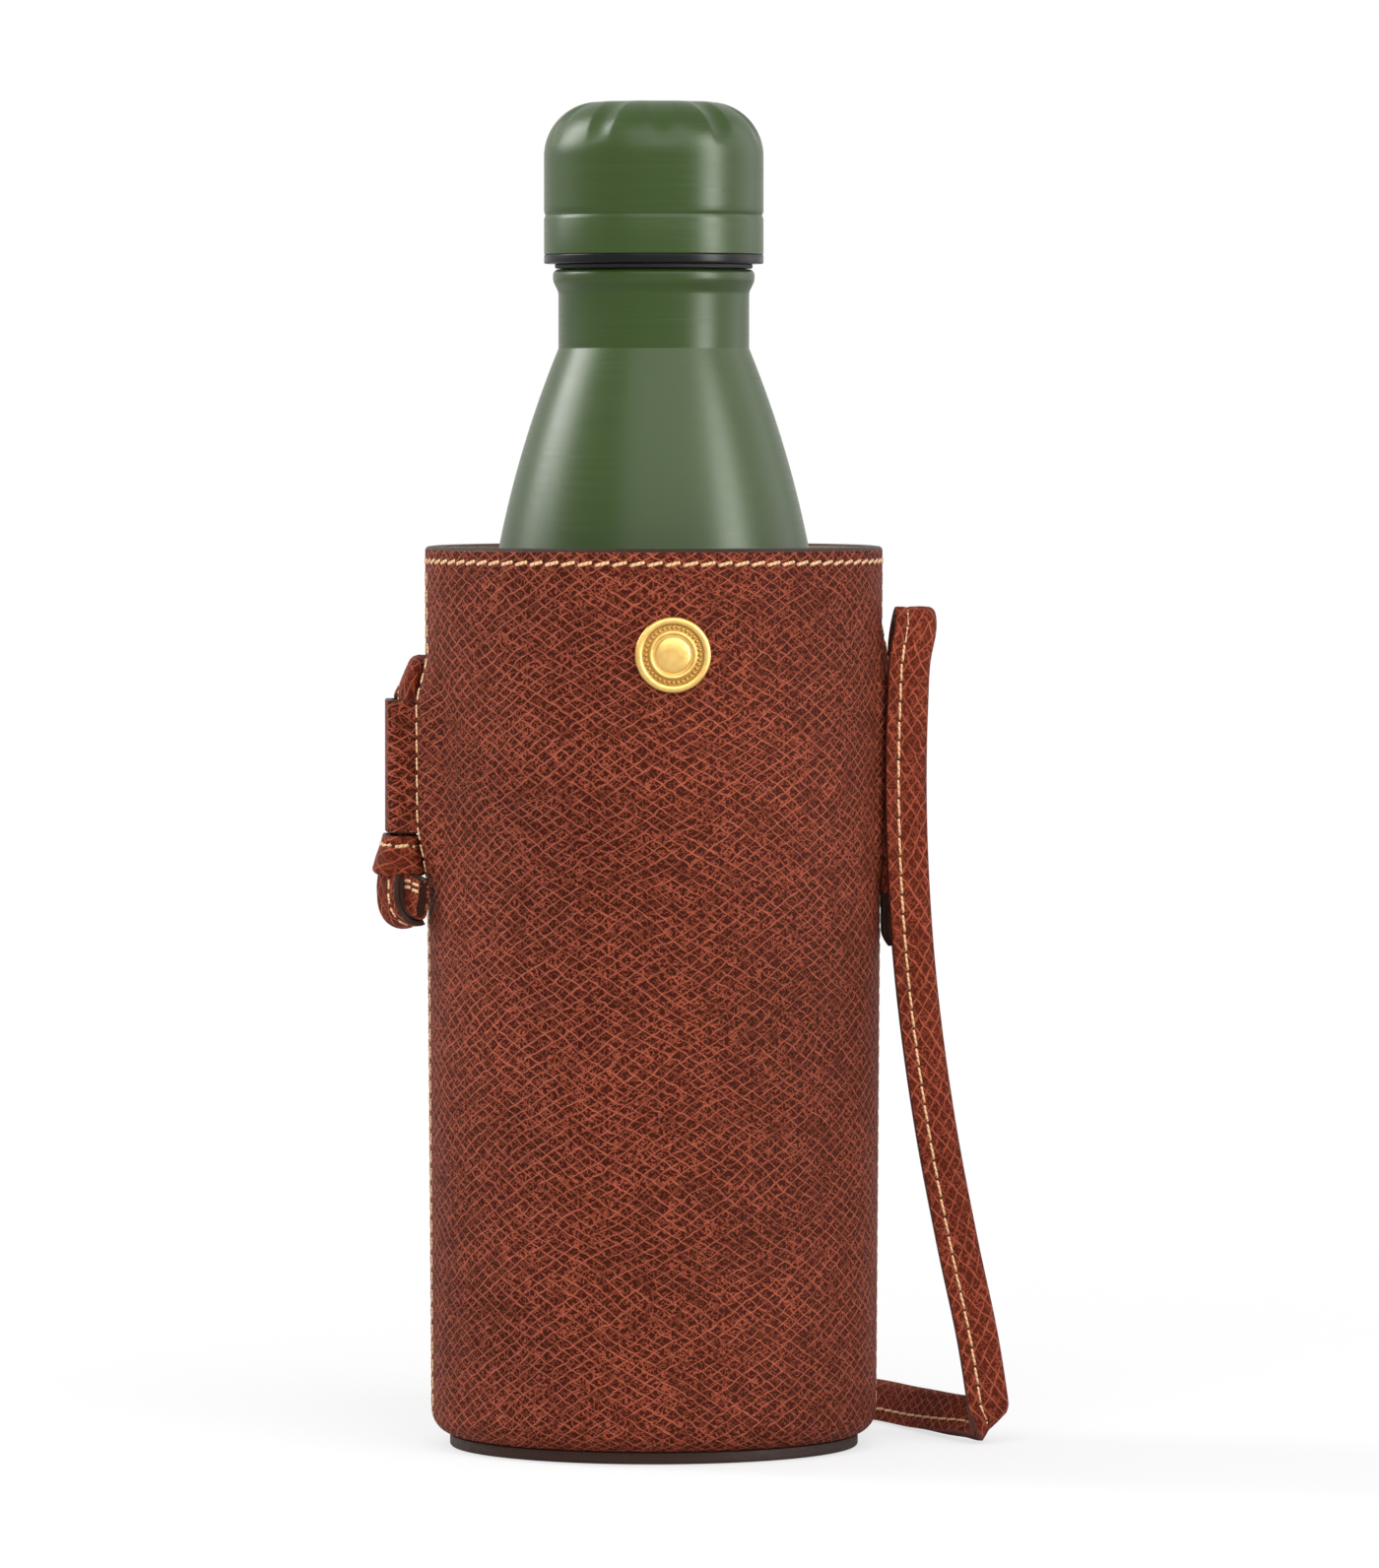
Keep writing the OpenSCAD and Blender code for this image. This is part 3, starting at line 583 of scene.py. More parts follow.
def wall_panel(name, start, node):
    bm = spun(panel_outline(), closed=True, steps=96, angle=math.pi)
    bmesh.ops.rotate(bm, cent=(0, 0, 0), matrix=Matrix.Rotation(start, 3, "Z"), verts=bm.verts)
    seam = [edge for edge in bm.edges if abs(edge.verts[0].co.y) < 1e-3
            and abs(edge.verts[1].co.y) < 1e-3 and edge.calc_length() > 0.2]
    bmesh.ops.bevel(bm, geom=seam, offset=0.3, affect="EDGES", segments=2, profile=0.5, material=-1)
    surface = bm.loops.layers.uv.new("surface")
    for face in bm.faces:
        rim = face.calc_center_median().z > RIM_Z - 0.3 and face.normal.z > 0.3
        face.material_index = int(rim)
        for loop in face.loops:
            x, y, z = loop.vert.co
            around = abs(math.atan2(y, x)) * RIM_R + (FRONT_GRAIN if start else 0)
            loop[surface].uv = around, z + min(0, math.hypot(x, y) - FOOT_R) * 0.8
    keep(bm, name, [carrier_leather, edge_paint], "case", [node])


wall_panel("front_panel", math.pi, "case_front_panel")
wall_panel("back_panel", 0.0, "case_back_panel")

# %% [markdown]
# The rim is where leather, board and lining end together. It is painted dark as one low dome, and
# a row of stitches runs round just below it, through all the layers, so it shows inside as well.

# %% Rim
INNER_R = RIM_R - 3.5
RIM_ROW_Z = 179.4
rim_outline = [(RIM_R - 0.15, RIM_Z - 0.6), (RIM_R - 0.1, RIM_Z - 0.1), (RIM_R - 0.5, RIM_Z + 0.25),
               (RIM_R - 1.75, RIM_Z + 0.4), (INNER_R + 0.5, RIM_Z + 0.25),
               (INNER_R + 0.1, RIM_Z - 0.1), (INNER_R + 0.15, RIM_Z - 0.6)]
keep(spun(rim_outline, closed=True), "rim_edge", [edge_paint], "case")


def ring_row(radius, z, facing, steps=180):
    row = []
    for i in range(steps + 1):
        a = math.tau * i / steps
        out = Vector((math.cos(a), math.sin(a), 0))
        row.append((out * radius + Vector((0, 0, z)), out * facing))
    return row


rim_rows = [ring_row(wall_r(RIM_ROW_Z) - 0.05, RIM_ROW_Z, 1),
            ring_row(INNER_R - 0.02, RIM_ROW_Z, -1)]
stitches("rim_stitches", rim_rows, slot="carrier_leather", slant=0.22, gap=0.25)

# %% [markdown]
# ## Side swellings and seams
# On each side a patch lies under the hide and carries the keeper, a strip bent into a tunnel for
# the strap. The hide is formed wet over it, so it swells out smoothly round the keeper, and a seam
# runs down either flank of the swelling, along its crest. A grid that is wrapped round the wall
# and lifted by a smooth rule does the same, and its border dips under the wall, so that no edge
# shows. It carries on the wall's UV map, so the grain runs through.

# %% Swellings
SWELL_LOW, SWELL_FULL, SWELL_TOP, SWELL_RUN = 109.0, 128.0, {-1: 162.0, 1: 168.0}, 12.0
SWELL_BORDER, SWELL_FLANK, SWELL_MIDDLE = 16.0, 1.1, 1.5
RIDGE, FRONT_LEFT_RIDGE = 1.6, 3.2
SEAM_OFFSET, SEAM_SWING = 2.6, 5.0
SEAM_PARTS, SEAM_WIDEST, SEAM_MEETS, SEAM_RUN = 164.0, 152.0, {-1: 108.0, 1: 97.0}, 14.0


def smooth(start, end, value):
    share = min(1.0, max(0.0, (value - start) / (end - start)))
    return share * share * (3 - 2 * share)


def seam_y(side, z):
    low = SEAM_MEETS[side]
    apart = smooth(SEAM_PARTS, SEAM_WIDEST, z) * smooth(low, low + SEAM_RUN, z)
    return SEAM_OFFSET + SEAM_SWING * apart


def swell(side, y, z):
    top = SWELL_TOP[side]
    crest, off = seam_y(side, z) - 0.3, abs(y)
    ridge = FRONT_LEFT_RIDGE if side < 0 and y < 0 else RIDGE
    middle = SWELL_MIDDLE + 0.5 * smooth(150, 154, z)
    if off > crest:
        lift = ridge * smooth(SWELL_BORDER, crest, off)
    else:
        lift = middle + (ridge - middle) * smooth(crest - SWELL_FLANK, crest, off)
    lift *= smooth(top, top - SWELL_RUN, z) * smooth(SWELL_LOW, SWELL_FULL, z)
    return lift - 0.25 * (1 - smooth(0, 0.3, lift)) - 0.3 * max(0, 1 - off)


def wrap(out, y, z, side):
    turn = y / RIM_R
    radius = wall_r(z) + out
    return Vector((side * radius * math.cos(turn), radius * math.sin(turn), z))


def swelling(name, side, node):
    columns, rows = 68, 58
    low, top = SWELL_LOW, SWELL_TOP[side]
    bm, surface = new_shape()
    bmesh.ops.create_grid(bm, x_segments=columns, y_segments=rows, size=1)
    for vert in bm.verts:
        vert.co = (0, vert.co.x * columns / 4, (low + top + vert.co.y * (top - low + 3)) / 2)
    for face in bm.faces:
        front = face.calc_center_median().y < 0
        for loop in face.loops:
            off = abs(loop.vert.co.y)
            around = off if side > 0 else math.pi * RIM_R - off
            loop[surface].uv = around + (FRONT_GRAIN if front else 0), loop.vert.co.z
    for vert in bm.verts:
        _, y, z = vert.co
        vert.co = wrap(swell(side, y, z), y, z, side)
    bm.normal_update()
    bm.faces.ensure_lookup_table()
    if bm.faces[0].normal.x * side < 0:
        bmesh.ops.reverse_faces(bm, faces=bm.faces)
    bmesh.ops.solidify(bm, geom=bm.faces[:], thickness=0.6)
    keep(bm, name, [carrier_leather], "case", [node])


swelling("swelling_left", -1, "side_patch_left")
swelling("swelling_right", 1, "side_patch_right")

# %% [markdown]
# Two rows of stitches run down each side, one on either panel, from the rim to the rolled bottom.
# Where the hide swells they swing apart and go round the keeper, and a row asks the swelling's
# own rule how high it lies. On the flat wall the thread is pulled deeper into the hide.

# %% Seam rows
SEAM_LOW, SEAM_TOP = 4.4, 177.5
SEAM_SUNK, SEAM_RAISED = 0.15, 0.1


def seam_row(side, lean, steps=120):
    row = []
    for k in range(steps + 1):
        z = SEAM_LOW + (SEAM_TOP - SEAM_LOW) * k / steps
        y = lean * seam_y(side, z)
        lift = max(0, swell(side, y, z))
        place = wrap(lift - SEAM_SUNK + SEAM_RAISED * smooth(0, 0.8, lift), y, z, side)
        row.append((place, Vector((place.x, place.y, 0)).normalized()))
    return row


seam_rows = [seam_row(side, lean) for side in (-1, 1) for lean in (-1, 1)]
stitches("seam_stitches", seam_rows, slot="carrier_leather")

# %% [markdown]
# The keeper is a strip 27 mm tall. Its path is a U seen from above, and the strip's section, a
# thin upright bar with soft corners, is carried along it. The top and bottom of the bar are cut
# edges, so those columns get the edge paint.

# %% Keepers
KEEPER_H, KEEPER_T, KEEPER_W, KEEPER_Z = 27.0, 1.4, 12.4, 124.5
KEEPER_X, KEEPER_DEPTH, KEEPER_BEND = 46.19, 8.1, 1.3


def strip_section(width, thickness):
    half, deep, soft = width / 2, thickness / 2, 0.25
    return [(half - soft, deep), (half, deep - soft), (half, soft - deep), (half - soft, -deep),
            (half / 2, -deep), (0, -deep), (-half / 2, -deep),
            (soft - half, -deep), (-half, soft - deep), (-half, deep - soft), (soft - half, deep),
            (-half / 2, deep), (0, deep), (half / 2, deep)]


STRIP_RAW = (0, 1, 2, 7, 8, 9)


def keeper(name, side, node):
    bend, reach = KEEPER_BEND, KEEPER_DEPTH - KEEPER_T / 2
    leg = (KEEPER_W - KEEPER_T) / 2
    turn = ([(0.0, -leg), (reach / 2, -leg)] + arc((reach - bend, bend - leg), bend, -90, 0, 6)
            + [(reach, 0.0)] + arc((reach - bend, leg - bend), bend, 0, 90, 6)
            + [(reach / 2, leg), (0.0, leg)])
    middle = KEEPER_Z + KEEPER_H / 2
    path = [Vector((side * (KEEPER_X + x), y, middle)) for x, y in turn]
    bm = swept(stations(path, [Vector((0, 0, 1))] * len(path)),
               strip_section(KEEPER_H, KEEPER_T), STRIP_RAW)
    keep(bm, name, [carrier_leather, edge_paint], "case", [node])


keeper("keeper_left", -1, "strap_keeper_left")
keeper("keeper_right", 1, "strap_keeper_right")

# %% [markdown]
# ## Knots and loose ends
# Below each keeper the strap is tied round itself, and that wrap is what stops it from slipping
# out. A tied knot could be simulated, but leather this thick holds its shape, so the wrap is
# drawn directly: the strip goes once round as a flat oblong that is wider at the bottom, and one
# end tucks over the other. Two loose ends hang below it, one that curls in and one cut short.

# %% Knots
KNOT_Z, KNOT_H = 115.8, 8.2
WRAP_T = 2.0
WRAP_START, WRAP_TURN, WRAP_STEPS, TUCK = 70, 395, 72, 0.9
LOOSE = 0.55


def oblong(turn, half_x, half_y):
    c, s = math.cos(turn), math.sin(turn)
    return (math.copysign(abs(c) ** LOOSE * half_x, c), math.copysign(abs(s) ** LOOSE * half_y, s))


def knot(name, side, node, middle, half_width, lean, flare):
    half_x, half_y = half_width - WRAP_T / 2, STRAP_W * 0.75 - WRAP_T / 2
    path, widths = [], []
    for i in range(WRAP_STEPS + 1):
        share = i / WRAP_STEPS
        turn = math.radians(WRAP_START + WRAP_TURN * share)
        x, y = oblong(turn, half_x + TUCK * share ** 6, half_y + TUCK * share ** 6)
        path.append(Vector((side * (middle + x), y, KNOT_Z + KNOT_H / 2 + 0.4 * (share - 0.5))))
        widths.append(Vector((-side * (lean + flare * math.cos(turn)), 0, 1)))
    stops = stations(path, widths)
    bm = swept(stops, folded_section(KNOT_H, WRAP_T, KNOT_H / 4), RAW_COLUMNS)
    row = [(place + wide * KNOT_H / 4 + thick * side * (WRAP_T / 2 - 0.1), thick * side)
           for place, wide, thick, _ in stops]
    return keep(bm, name, [strap_leather, edge_paint], "case", [node]), row


knot_left, left_row = knot("knot_left", -1, "strap_knot_left", 51.4, 4.5, 0.07, 0.26)
knot_right, right_row = knot("knot_right", 1, "strap_knot_right", 50.65, 3.1, 0.0, 0.08)
knot_stitches = stitches("knot_stitches", [left_row, right_row])

# %% [markdown]
# The loose ends use the strap's own folded section, pressed a little thinner. On each side one end
# hangs down and curls in, with its raw edge to the front, and the other is cut: short on the left,
# where it points forward and shows its hollow end, and long on the right, where its lower part is
# painted in the dark edge paint as painted shade and the stitches turn round its tip. Each route is
# drawn for the right-hand side, with x outwards, and mirrored for the left.

# %% Loose ends
TAIL_T = 2.6
TAIL_SECTION = folded_section(STRAP_W, TAIL_T, SEAM)
FRONT, CURLED, UP = (-0.42, -0.91, 0), (-0.42, -0.91, 0.15), (0, 0, 1)
SIDEWAYS, TURNED = (-0.1, -1, 0), (-0.8, -0.6, 0)
LEFT_CURL = [((53, -1.4, 118), FRONT), ((53.5, -2, 115.5), FRONT), ((53.7, -2.8, 112.4), FRONT),
             ((53.4, -2.8, 109.8), CURLED), ((52.4, -2.8, 107.9), CURLED),
             ((50.7, -2.8, 106.9), CURLED), ((48.8, -2.8, 106.9), CURLED),
             ((47.5, -2.8, 107.5), CURLED)]
LEFT_CUT = [((51.5, -1.5, 112.4), UP), ((50.2, -4.2, 112.2), UP), ((48.7, -7.2, 111.8), UP),
            ((47.4, -9.8, 111.1), UP)]
RIGHT_CURL = [((53.2, -2, 121), SIDEWAYS), ((53.3, -2, 113), SIDEWAYS),
              ((53.1, -2, 109.8), SIDEWAYS), ((52.2, -2, 107.6), SIDEWAYS)]
RIGHT_CUT = [((49.2, -6, 124.3), TURNED), ((49.2, -6, 116), TURNED), ((49.4, -6, 108), TURNED),
             ((49.4, -6, 101.4), TURNED)]
SHADE_PAINTED_BELOW = 112.6


def loose_end(side, route, tip=1.0):
    mirrored = [((side * x, y, z), (side * u, v, w)) for (x, y, z), (u, v, w) in route]
    path, widths = smooth_route(mirrored, 0.7)
    left = [running_length(path)[-1] - done for done in running_length(path)]
    sizes = [tip + (1 - tip) * smooth(0, 3.5, distance) ** 0.5 for distance in left]
    return stations(path, widths, sizes), left


def end_row(stops, across, face):
    return [(place + wide * shift * size + thick * face * (TAIL_T / 2 * size - 0.12), thick * face)
            for (place, wide, thick, size), shift in zip(stops, across)]


def tail(name, side, node, curl, cut, tip, dark):
    whole, _ = new_shape()
    curl_stops, _ = loose_end(side, curl)
    cut_stops, left = loose_end(side, cut, tip)
    merge(whole, swept(curl_stops, TAIL_SECTION, RAW_COLUMNS))
    end_strip = swept(cut_stops, TAIL_SECTION, RAW_COLUMNS, open_end=not dark)
    rows = [end_row(curl_stops, [SEAM] * len(curl_stops), face) for face in (1, -1)]
    if dark:
        # the lower part of the long cut end gets the dark edge paint: painted shade where it hangs
        # in shadow
        for face in end_strip.faces:
            face.material_index = int(face.calc_center_median().z < SHADE_PAINTED_BELOW)
        across = [3.2 - 4.5 * (1 - smooth(0.8, 4.5, distance)) for distance in left]
        shown = [i for i, distance in enumerate(left) if distance > 1]
        rows += [end_row(cut_stops, across, face)[:len(shown)] for face in (1, -1)]
    else:
        rows += [end_row(cut_stops, [shift] * len(cut_stops), face)
                 for face in (1, -1) for shift in (SEAM, SEAM + 1.3)]
    merge(whole, end_strip)
    return keep(whole, name, [strap_leather, edge_paint], "case", [node]), rows


tail_left, left_rows = tail("tail_left", -1, "strap_tail_left", LEFT_CURL, LEFT_CUT, 0.97, False)
tail_right, right_rows = tail("tail_right", 1, "strap_tail_right", RIGHT_CURL, RIGHT_CUT, 0.6, True)
tail_stitches = stitches("tail_stitches", left_rows + right_rows, pitch=3.0)

# %% [markdown]
# ## Brass stud
# The stud on the front is a pressed and gilded rivet. A lathe outline gives its bead, its sunk
# field and its low dome, and small round beads are set in the field, as on a plain button. The
# metal is duller in the field, where polish doesn't reach, which is a mask by the distance from
# the stud's centre.

# %% Brass
STUD_Z, STUD_R = 161.4, 7.6
STUD_Y = -45.56


def brass_finish():
    material, tree = new_material("brass", Metallic=1.0)
    place = object_place(tree)
    x, _, z = put(tree, "SeparateXYZ", {0: place}).outputs
    rise = calc("SUBTRACT", z, STUD_Z * MM)
    radius = calc("SQRT", plus(times(x, x), times(rise, rise)))
    field = times(fade(radius, 0.0046, 0.0050), fade(radius, 0.0064, 0.0060))
    spots = noise(place, 700.0, 3.0)
    bright = mix_colour(spots, shade(196, 156, 84), shade(216, 182, 112))
    colour = mix_colour(times(field, 0.7), bright, shade(154, 116, 55))
    rough = plus(fade(spots, 0.3, 0.7, 0.36, 0.48), times(field, 0.18))
    return finished(material, colour, rough, spots, 0.12, 0.0001)


brass = brass_finish()

# %% Stud
BEAD_COUNT, BEAD_SIZE, BEAD_RING, BEAD_RISE = 36, 0.36, 5.45, 0.98
stud_outline = ([(0, 0), (STUD_R - 0.3, 0)] + arc((STUD_R - 0.8, 0.75), 0.8, -30, 150, 12)
                + [(5.95, 0.95), (4.95, 0.95)] + arc((4.45, 1.0), 0.42, 0, 180, 8)
                + [(3.85, 0.98)] + [(3.6 * math.cos(a), 0.98 + 0.72 * math.sin(a))
                                    for a in (math.radians(9 * k) for k in range(11))])
stud_shape = spun(stud_outline, steps=96)
for k in range(BEAD_COUNT):
    a = math.tau * k / BEAD_COUNT
    spot = Matrix.Translation((BEAD_RING * math.cos(a), BEAD_RING * math.sin(a), BEAD_RISE))
    bmesh.ops.create_icosphere(stud_shape, subdivisions=2, radius=BEAD_SIZE, matrix=spot)
bmesh.ops.rotate(stud_shape, cent=(0, 0, 0), matrix=Matrix.Rotation(math.pi / 2, 3, "X"),
                 verts=stud_shape.verts)
bmesh.ops.translate(stud_shape, vec=(0, STUD_Y, STUD_Z), verts=stud_shape.verts)
keep(stud_shape, "stud", [brass], "case", ["stud_head"])

# %% [markdown]
# ## Sole, lining and board
# The carrier stands on a stacked sole of dark leather, whose cut edge shows its layers as level
# streaks. The lining is a napped split, soft and matt, and the board behind it is pressed fibre.
# Noise that is squeezed flat gives the streaks, and fine noise with sheen gives the nap.


# %% Sole and inside
def sole_finish():
    material, tree = new_material("sole_edge", Specular_IOR_Level=0.15)
    place = object_place(tree)
    level = put(tree, "Mapping", {"Vector": place, "Scale": (60, 60, 2600)}).outputs[0]
    streaks = noise(level, 1.0, 3.0)
    grit = noise(place, 800.0, 2.0)
    colour = mix_colour(streaks, shade(40, 25, 21), shade(68, 47, 40))
    rough = fade(grit, 0.2, 0.8, 0.5, 0.7)
    return finished(material, colour, rough, plus(streaks, grit), 0.4, 0.0002)


def napped(name, pale, dark, scale):
    material, tree = new_material(name, Sheen_Weight=0.35, Sheen_Roughness=0.5)
    place = object_place(tree)
    nap = noise(place, scale, 4.0)
    cloud = noise(place, 45.0, 2.0, 3.0)
    both = times(plus(nap, cloud), 0.5)
    rough = fade(cloud, 0.3, 0.7, 0.8, 0.95)
    return finished(material, mix_colour(both, dark, pale), rough, nap, 0.5, 0.0003)


sole_edge = sole_finish()
lining_nap = napped("lining_nap", shade(196, 160, 112), shade(132, 98, 62), 1500.0)
fibre_board = napped("fibre_board", shade(190, 166, 128), shade(150, 122, 86), 600.0)
foam_fill = napped("foam_fill", shade(236, 230, 214), shade(214, 206, 188), 900.0)

SOLE_R = 41.4
sole_outline = ([(0, 0.25), (SOLE_R - 3.2, 0.25), (SOLE_R - 2.9, 0)]
                + arc((SOLE_R - 0.5, 0.5), 0.5, -90, 0, 4)
                + arc((SOLE_R - 0.25, SOLE_T - 0.25), 0.25, 0, 90, 3) + [(0, SOLE_T)])
keep(spun(sole_outline), "sole", [sole_edge], "case", ["case_sole"])

for node, material in (("case_lining", lining_nap), ("case_insole", lining_nap),
                       ("case_stiffener", fibre_board), ("cap_foam", foam_fill),
                       ("stud_washer", brass)):
    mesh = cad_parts[node].data
    mesh.materials.clear()
    mesh.materials.append(material)
    print(node, "gets", material.name)

# %% [markdown]
# ## Paint and steel
# The bottle is spun from stainless steel and powder coated in a satin green. Faint rings from the
# lathe still show through the coat. Both finishes share one group: noise that is stretched round
# the axis and very fine along it, which looks like turning marks on any round part.


# %% Turning marks
def turning_marks_group():
    tree, given, result = new_group("turning_marks", {"Place": "Vector", "Fineness": "Float"},
                                    {"Marks": "Float", "Cloud": "Float"})
    squeeze = put(tree, "CombineXYZ", {0: 30.0, 1: 30.0, 2: given["Fineness"]}).outputs[0]
    level = put(tree, "VectorMath", {0: given["Place"], 1: squeeze},
                operation="MULTIPLY").outputs[0]
    join(tree, result, {"Marks": noise(level, 1.0, 4.0),
                        "Cloud": noise(given["Place"], 22.0, 2.0, 5.0)})
    return tree


TURNING_MARKS = turning_marks_group()


def turned(name, pale, dark, rough, relief, fineness, **constants):
    material, tree = new_material(name, **constants)
    lathe = put(tree, "Group", {"Place": object_place(tree), "Fineness": fineness},
                node_tree=TURNING_MARKS).outputs
    speck = plus(times(lathe["Marks"], 0.6), times(lathe["Cloud"], 0.4))
    colour = mix_colour(fade(speck, 0.3, 0.7), dark, pale)
    gloss = fade(speck, 0.25, 0.75, rough - 0.05, rough + 0.06)
    return finished(material, colour, gloss, lathe["Marks"], relief, 0.0001)


green_paint = turned("green_paint", shade(50, 70, 26), shade(45, 65, 22), 0.34, 0.06, 2200.0,
                     Specular_IOR_Level=0.25)
bare_steel = turned("bare_steel", shade(206, 206, 204), shade(168, 168, 168), 0.3, 0.18, 3500.0,
                    Metallic=1.0)
black_plastic = turned("black_plastic", shade(20, 19, 23), shade(13, 12, 15), 0.3, 0.1, 1200.0,
                       Specular_IOR_Level=0.14)
seal_rubber = turned("seal_rubber", shade(22, 22, 23), shade(14, 14, 15), 0.72, 0.2, 900.0)
print("turned finishes:", green_paint.name, bare_steel.name, black_plastic.name, seal_rubber.name)

# %% [markdown]
# ## The bottle
# The outer wall has a straight body, one long curve up to the neck, and a bead below the lip. Its
# outline closes over the foot and the lip, so the wall has a real thickness. The inner wall is a
# second vessel of bare steel that shows when the cap is off.

# %% Bottle walls
BASE_Z, BODY_R, SHOULDER_Z = 7.45, 35.4, 140.65
SHOULDER_R, NECK_R, BEAD_R, MOUTH_R = 215.0, 19.3, 20.4, 17.3
NECK_Z = SHOULDER_Z + math.sqrt(SHOULDER_R**2 - (SHOULDER_R - BODY_R + NECK_R) ** 2)
BEAD_Z = NECK_Z + 11.4
LIP_Z = BEAD_Z + 4.6
SHOULDER_CENTRE = (BODY_R - SHOULDER_R, SHOULDER_Z)
SHELL_T = 0.7


def shoulder(radius, end_r, steps=40):
    end = math.degrees(math.acos((end_r - SHOULDER_CENTRE[0]) / radius))
    return arc(SHOULDER_CENTRE, radius, 0, end, steps)


FOOT_ROUND = 3
foot = (BODY_R - FOOT_ROUND, BASE_Z + FOOT_ROUND)
foot_r, closed_r = foot[0] - 3.4, MOUTH_R + 0.65
outer_wall = ([(foot_r, BASE_Z)] + arc(foot, FOOT_ROUND, -90, 0, 10) + shoulder(SHOULDER_R, NECK_R)
              + [(NECK_R, NECK_Z + 0.15), (NECK_R, BEAD_Z - 0.6)]
              + [(NECK_R + (BEAD_R - NECK_R) * smooth(0, 1, k / 8), BEAD_Z - 0.5 + 0.4 * k)
                 for k in range(1, 9)]
              + arc((BEAD_R - 1.2, LIP_Z - 1.2), 1.2, 0, 90, 8)
              + [(closed_r, LIP_Z), (closed_r, LIP_Z - SHELL_T),
                 (BEAD_R - SHELL_T, LIP_Z - SHELL_T), (BEAD_R - SHELL_T, BEAD_Z + 2.9),
                 (NECK_R - SHELL_T, BEAD_Z + 0.6)]
              + shoulder(SHOULDER_R - SHELL_T, NECK_R - SHELL_T, 20)[::-1]
              + arc(foot, FOOT_ROUND - SHELL_T, 0, -90, 6) + [(foot_r, BASE_Z + SHELL_T)])
keep(spun(outer_wall, closed=True, steps=192), "bottle_wall", [green_paint], "bottle",
     ["bottle_shell"], sharp=18)

LINER_R, LINER_Z, LINER_T, LINER_ROUND = 31.6, 13.45, 0.6, 9.0
liner_arc = LINER_R - SHOULDER_CENTRE[0]
liner_corner = (LINER_R - LINER_ROUND, LINER_Z + LINER_ROUND)
inner_wall = ([(0, LINER_Z)] + arc(liner_corner, LINER_ROUND, -90, 0, 10)
              + shoulder(liner_arc, MOUTH_R + LINER_T, 24)
              + [(MOUTH_R + LINER_T, LIP_Z), (MOUTH_R + 0.1, LIP_Z + 0.02), (MOUTH_R, LIP_Z - 0.2)]
              + shoulder(liner_arc - LINER_T, MOUTH_R, 24)[::-1]
              + arc(liner_corner, LINER_ROUND - LINER_T, 0, -90, 10) + [(0, LINER_Z + LINER_T)])
keep(spun(inner_wall), "inner_wall", [bare_steel], "bottle", ["bottle_liner"])

# %% [markdown]
# Under the bottle a steel disc closes the space between the two walls, with the button that sealed
# the vacuum. It has a pressed step, as a turned base has, and the button a soft edge.

# %% Base
PLATE_Z, PLATE_T, PLATE_R, PLATE_HOLE = BASE_Z + SHELL_T + 0.05, 0.8, 32.34, 4.06
base_outline = [(PLATE_HOLE, PLATE_Z), (9, PLATE_Z), (9.6, PLATE_Z + 0.25), (22, PLATE_Z + 0.25),
                (22.6, PLATE_Z), (PLATE_R, PLATE_Z), (PLATE_R, PLATE_Z + PLATE_T),
                (PLATE_HOLE, PLATE_Z + PLATE_T)]
keep(spun(base_outline, closed=True), "base_disc", [bare_steel], "bottle",
     ["bottle_base"])
BUTTON_Z, BUTTON_TOP = PLATE_Z - 0.61, PLATE_Z + 2.29
button_outline = ([(0, BUTTON_Z), (6.1, BUTTON_Z)] + arc((6.1, BUTTON_Z + 0.3), 0.3, -90, 90, 5)
                  + [(4, BUTTON_Z + 0.6), (4, BUTTON_TOP), (0, BUTTON_TOP)])
keep(spun(button_outline), "vacuum_button", [bare_steel], "bottle", ["vacuum_plug"])

# %% [markdown]
# ## Screw threads
# The plug under the cap has a coarse raised thread, and the neck has the matching one, half a turn
# behind, so that they pass each other as the cap turns. One turn lifts the cap by 6 mm. A thread is
# a small section carried along a helix, and it tapers out at both ends as a moulded one does.

# %% Threads
LEAD = 6.0
COLLAR_Z = 239.36


def thread_ridge(radius, low, high, depth):
    turns = (high - low) / LEAD
    steps = round(turns * 72)
    path, sizes = [], []
    for i in range(steps + 1):
        share = i / steps
        a = math.tau * turns * share
        rise = low + LEAD * turns * share
        path.append(Vector((radius * math.cos(a), radius * math.sin(a), rise)))
        sizes.append(min(1, 0.1 + 10 * min(share, 1 - share)))
    root = -math.copysign(0.15, depth)
    section = [(-1.0, root), (1.0, root), (0.45, depth * 0.9), (0.2, depth), (-0.2, depth),
               (-0.45, depth * 0.9)]
    return swept(stations(path, [Vector((0, 0, 1))] * len(path), sizes), section)


PLUG_R, PLUG_H = 15.6, 17.0
keep(thread_ridge(PLUG_R, 224.5, 235.5, 0.95), "plug_thread", [black_plastic], "cap")
keep(thread_ridge(MOUTH_R, 227.5, 236.5, -0.7), "neck_thread", [bare_steel], "bottle")

# %% [markdown]
# ## The cap
# The cap is painted as the bottle is. Ten shallow flutes are pressed over its rounded top edge to
# give the fingers a hold, and a fine groove runs round near the bottom. It is turned first, finely
# enough to hold the flutes, and then each point near a flute is pressed in along the curve.

